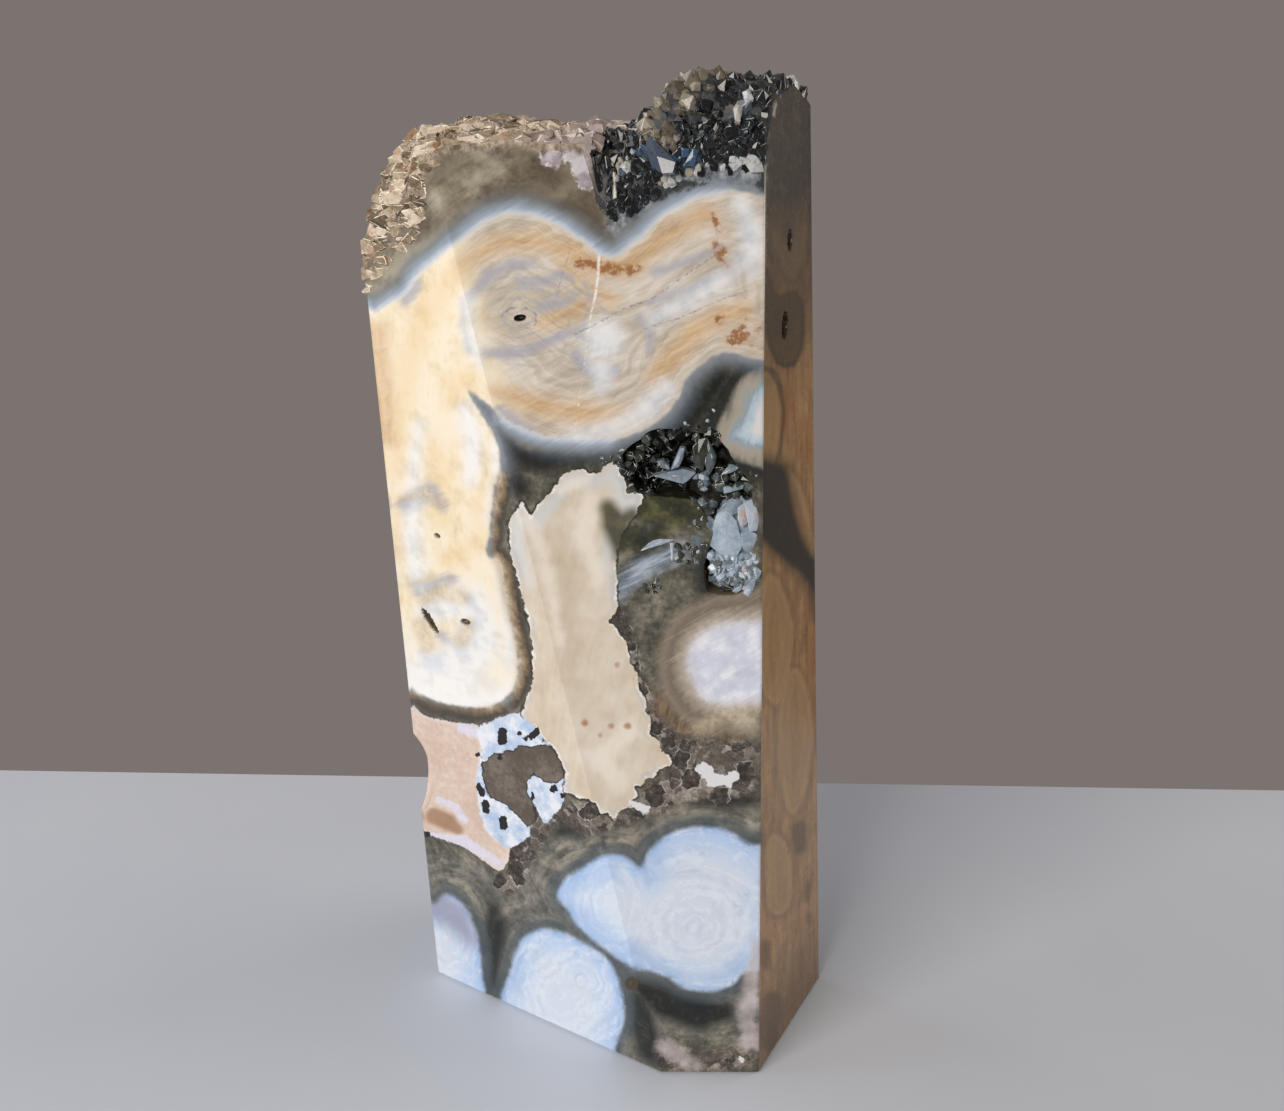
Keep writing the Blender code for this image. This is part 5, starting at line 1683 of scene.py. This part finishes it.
def polished_side():
    """The right wall: warm brown, part tint and part painted shade, with long pale ovals and a dark vein."""
    f = Finish("polished_side")
    cloud = f.noise(10.0, 3)
    lumps = f.noise(3.5, 4)
    fine = f.noise(1.0, 5, 0.6)
    streaks = f.noise(1.0, 5, 0.6, place=f.stretched(90, (9.0, 1.6, 2.0)))
    sway = (lumps - 0.5) * 1.3 + (fine - 0.5) * 0.6
    height = f.part(f.place, "Z")
    ovals = f.kept("side_ovals") + sway * 0.8
    # The base brown is darker than the stone's tint alone: painted shade for a wall turned from the light.
    brown = f.ramp(
        streaks * 0.5 + cloud * 0.3 + fine * 0.2, (0.38, "7a5a36"), (0.48, "98754c"), (0.56, "a98659"), (0.66, "bb9a6c")
    )
    brown = f.mixed(brown, "6a4c2c", f.step(cloud, 0.5, 0.66) * 0.5)
    wave = f.node("ShaderNodeMath", {"operation": "SINE"}, {0: ovals * 5.0 + fine * 2})
    oval = f.mixed("a98b60", "9d8056", f.step(wave, -0.4, 1.2))
    oval = f.mixed(oval, "866a45", f.step(ovals, 0.6, 3.6) * 0.6)
    brown = f.mixed(brown, oval, f.step(ovals, -1.2, 1.0) * 0.65)
    brown = f.mixed(brown, "5e4426", f.band(ovals, -0.6, 0.2, 0.45) * 0.4)
    dark = f.kept("side_dark_oval") + sway * 0.6
    brown = f.mixed(brown, f.mixed("4b3a1d", "64502b", fine), f.step(dark, -0.9, 0.9))
    brown = f.mixed(brown, "33240e", f.band(dark, -0.2, 0.5, 0.3) * 0.7)
    brown = f.mixed(brown, "965a26", f.step(f.kept("side_rust") + sway, -1.4, 0.9) * 0.5)
    brown = f.mixed(brown, "3f2c14", f.step(f.kept("side_shades") + sway * 0.9, -1.0, 0.6) * 0.7)
    brown = f.mixed(brown, "35250f", f.step(f.kept("side_lines") + sway * 0.3, -0.35, 0.25) * 0.7)
    vein = f.kept("side_vein") + sway * 0.4
    brown = f.mixed(brown, "3d2c16", f.step(vein + sway, -2.4, 0.2) * 0.6)
    brown = f.mixed(brown, f.mixed("12100a", "2a2417", lumps), f.step(vein, -0.7, 0.7))
    # Darker towards the foot of the wall.
    brown = f.mixed(brown, "4b3416", (1 - f.step(height, 2.0, 22.0)) * 0.6)
    brown = f.mixed(brown, "3a2e1d", f.step(height + sway * 2, 112.0, 136.0) * 0.75)
    brown = f.mixed(brown, f.ramp(lumps * 0.6 + fine * 0.4, (0.5, "17140f"), (0.66, "453b28")), f.step(height + sway * 4, 140.0, 148.0) * 0.9)
    # Darker in the sunk pits.
    brown = f.mixed(brown, "150f09", f.step(f.kept("sunk"), 0.1, 0.6) * f.step(fine, 0.42, 0.58))
    f.drive("Base Color", brown)
    f.drive("Roughness", 0.2 + fine * 0.12)
    f.set(IOR=1.54)
    f.bump(fine, 0.02, 0.2)
    return f.material


def natural_skin():
    """The rough top: cream plates with painted rim highlights on the left, dark crystal ground on the right."""
    f = Finish("natural_skin")
    cloud = f.noise(6.0, 3)
    lumps = f.noise(2.2, 4, 0.6)
    fine = f.noise(0.7, 4, 0.65)
    grit = f.noise(0.25, 3, 0.7)
    edge = f.kept("plate_edge")
    shade = f.kept("plate_shade")
    across = f.part(f.place, "X")
    skin = f.ramp(
        shade * 0.4 + fine * 0.6, (0.25, "5d4c3a"), (0.42, "8d7c68"), (0.55, "ad9f8e"), (0.68, "cbbfb1"), (0.8, "e3dad0")
    )
    skin = f.mixed(skin, "a36f3f", f.step(cloud * 0.6 + lumps * 0.4, 0.54, 0.64) * 0.55)
    skin = f.mixed(skin, "40321f", (1 - f.step(lumps, 0.34, 0.46)) * 0.7)
    skin = f.mixed(skin, "b3aab2", f.step(across + lumps * 4, -6.0, -1.0) * 0.45)
    # Painted highlight: plate edges turn bright cream where the noise is high.
    rims = (1 - f.step(edge + (fine - 0.5) * 0.2, 0.03, 0.13)) * f.step(lumps + fine, 0.9, 1.15)
    skin = f.mixed(skin, "f2e8d2", rims * 0.9)
    dark = f.ramp(fine * 0.6 + grit * 0.4, (0.4, "0e1113"), (0.55, "272d31"), (0.68, "4d565b"), (0.78, "9aa4a9"))
    dark = f.mixed(dark, "3a536b", f.step(lumps, 0.56, 0.68) * 0.5)
    dark = f.mixed(dark, "74695a", f.step(cloud, 0.5, 0.6) * 0.5)
    skin = f.mixed(skin, dark, f.step(across + (lumps - 0.5) * 3, 0.6, 1.8))
    f.drive("Base Color", skin)
    f.drive("Roughness", 0.3 + fine * 0.35)
    f.set(IOR=1.54)
    f.bump(fine * 0.6 + grit * 0.4, 0.25, 0.9)
    return f.material


def worn(f, body, code, low, high):
    """A crystal's colour along its edges: bright where a soft noise says that the edge catches light."""
    return f.mixed(body, code, f.step(f.noise(1.1, 3, 0.6, place=f.moved(f.place, (7.0, 3.0, 5.0))), low, high))


def rough_lump(name, edge=None):
    """The broken cream crystals of the left shoulder."""
    f = Finish(name)
    tone = f.kept("tone")
    fine = f.noise(0.8, 4, 0.65)
    lumps = f.noise(2.5, 3)
    skin = f.ramp(
        tone * 0.45 + fine * 0.55, (0.25, "43382a"), (0.38, "75654f"), (0.5, "9c8b74"), (0.62, "bcad97"), (0.78, "dacfbd")
    )
    skin = f.mixed(skin, "96683c", f.step(lumps, 0.54, 0.68) * 0.5)
    skin = f.mixed(skin, "aaa1a6", f.step(f.part(f.place, "X") + lumps * 4, -8.0, -2.0) * 0.5)
    # The edge finish paints a highlight where a noise says the edge catches light.
    if edge:
        skin = worn(f, skin, edge, 0.4, 0.54)
    f.drive("Base Color", skin)
    f.drive("Roughness", 0.25 + fine * 0.3)
    f.set(IOR=1.54)
    f.bump(fine, 0.12, 0.6)
    return f.material


def dark_crystal(name, edge=None):
    """Dark glassy quartz points: near black, some blue, some smoky, a few pale."""
    f = Finish(name)
    tone = f.kept("tone")
    fine = f.noise(0.9, 4, 0.6)
    grit = f.noise(0.3, 3, 0.6)
    glassy = f.ramp(
        tone, (0.0, "08090a"), (0.4, "121619"), (0.62, "1f262a"), (0.72, "31506f"), (0.8, "4b4438"), (0.88, "7b7364"),
        (0.95, "a09a8c"), (1.0, "b9bfc2"),
    )
    glassy = f.mixed(glassy, "4b5459", f.step(fine, 0.54, 0.7) * 0.3)
    glassy = f.mixed(glassy, "12100c", (1 - f.step(fine, 0.36, 0.46)) * 0.5)
    # The edge finish paints a highlight where a noise says the edge catches light.
    if edge:
        glassy = worn(f, glassy, edge, 0.56, 0.68)
    f.drive("Base Color", glassy)
    f.drive("Roughness", 0.06 + grit * 0.14)
    f.set(IOR=1.55, Coat_Weight=0.3)
    f.bump(fine, 0.06, 0.4)
    return f.material


def clear_crystal(name, edge=None):
    """Glassy quartz in the hollow, from smoky to pale blue."""
    f = Finish(name)
    tone = f.kept("tone")
    fine = f.noise(0.9, 4, 0.6)
    lumps = f.noise(2.4, 3)
    body = f.ramp(
        tone + (fine - 0.5) * 0.3 + (lumps - 0.5) * 0.3,
        (0.0, "0b0d09"), (0.3, "1c2018"), (0.5, "434a41"), (0.68, "75838c"), (0.84, "a3b6c8"), (0.95, "c9d9ea"),
        (1.0, "cdbdb8"),
    )
    # The edge finish paints a highlight where a noise says the edge catches light.
    if edge:
        body = worn(f, body, edge, 0.5, 0.64)
    f.drive("Base Color", body)
    f.drive("Roughness", 0.05 + fine * 0.12)
    f.set(IOR=1.55, Transmission_Weight=0.25)
    f.bump(fine, 0.05, 0.4)
    return f.material


def make_camera():
    camera = bpy.data.objects.new("picture_camera", bpy.data.cameras.new("picture_camera"))
    bpy.context.scene.collection.objects.link(camera)
    camera.location = Vector(CAMERA_PLACE) * MM
    camera.rotation_euler = (math.radians(90 - CAMERA_TILT), 0.0, math.radians(CAMERA_TURN))
    camera.data.sensor_width = SENSOR
    camera.data.lens = SENSOR * FOCAL_PIXELS / PICTURE[0]
    camera.data.clip_start, camera.data.clip_end = 0.005, 20.0
    bpy.context.scene.camera = camera


def area_light(name, place, target, size, power, shade):
    light = bpy.data.objects.new(name, bpy.data.lights.new(name, "AREA"))
    light.data.shape = "RECTANGLE"
    light.data.size, light.data.size_y = size
    light.data.energy = power
    light.data.color = colour(shade)[:3]
    light.location = place
    light.rotation_euler = (Vector(target) - Vector(place)).to_track_quat("-Z", "Y").to_euler()
    bpy.context.scene.collection.objects.link(light)


def make_studio():
    """A pale table top, a taupe surround and soft light from the left."""
    floor = new_stage_plane("pale_table")
    f = Finish("pale_table")
    f.drive("Base Color", f.mixed("bdc4cf", "c6cdd7", f.noise(60.0, 2)))
    f.set(Roughness=0.55)
    floor.data.materials.append(f.material)
    world = bpy.data.worlds.new("taupe_room")
    world.use_nodes = True
    world.node_tree.nodes["Background"].inputs["Color"].default_value = colour("7b7370")
    world.node_tree.nodes["Background"].inputs["Strength"].default_value = 1.0
    bpy.context.scene.world = world
    area_light("window_light", (-0.18, -0.75, 0.5), (0, 0, 0.08), (0.6, 0.5), 7.2, "fff8f0")
    area_light("soft_fill", (-0.6, -0.1, 0.7), (0, 0, 0.08), (0.5, 0.5), 1.5, "f2f5ff")
    area_light("side_fill", (0.65, 0.42, 0.3), (0, 0, 0.08), (0.5, 0.5), 2.6, "fff4e6")
    bpy.context.scene.view_settings.view_transform = "Standard"


def new_stage_plane(name):
    """The table top, whose far edge crosses the picture where the real one does."""
    start = Vector(CAMERA_PLACE)
    far_edge = []
    for x, y in ((-400, 764), (1700, 797)):
        way = sight_line(x, y)
        far_edge.append(start + way * (-start.z / way.z))
    left, right = far_edge
    near = Vector((math.sin(math.radians(CAMERA_TURN)), -math.cos(math.radians(CAMERA_TURN)), 0.0)) * 2000
    side = (right - left).normalized() * 2500
    corners = [left - side, right + side, right + side + near, left - side + near]
    mesh = bpy.data.meshes.new(name)
    mesh.from_pydata([(c.x * MM, c.y * MM, -0.00002) for c in corners], [], [(0, 3, 2, 1)])
    mesh.update()
    plane = bpy.data.objects.new(name, mesh)
    bpy.context.scene.collection.objects.link(plane)
    return plane


make_camera()
make_studio()
make_stone([polished_jasper(), polished_side(), natural_skin()])
# The second finish in each pair paints a highlight on the crystals' bevelled edges.
make_lumps_and_points(
    [rough_lump("rough_lump"), rough_lump("worn_lump_edge", "efe5d2")],
    [dark_crystal("dark_crystal"), dark_crystal("dark_crystal_edge_glint", "a9b4ba")],
)
make_hollow_crystals([clear_crystal("clear_crystal"), clear_crystal("clear_crystal_edge_glint", "e6ebec")])
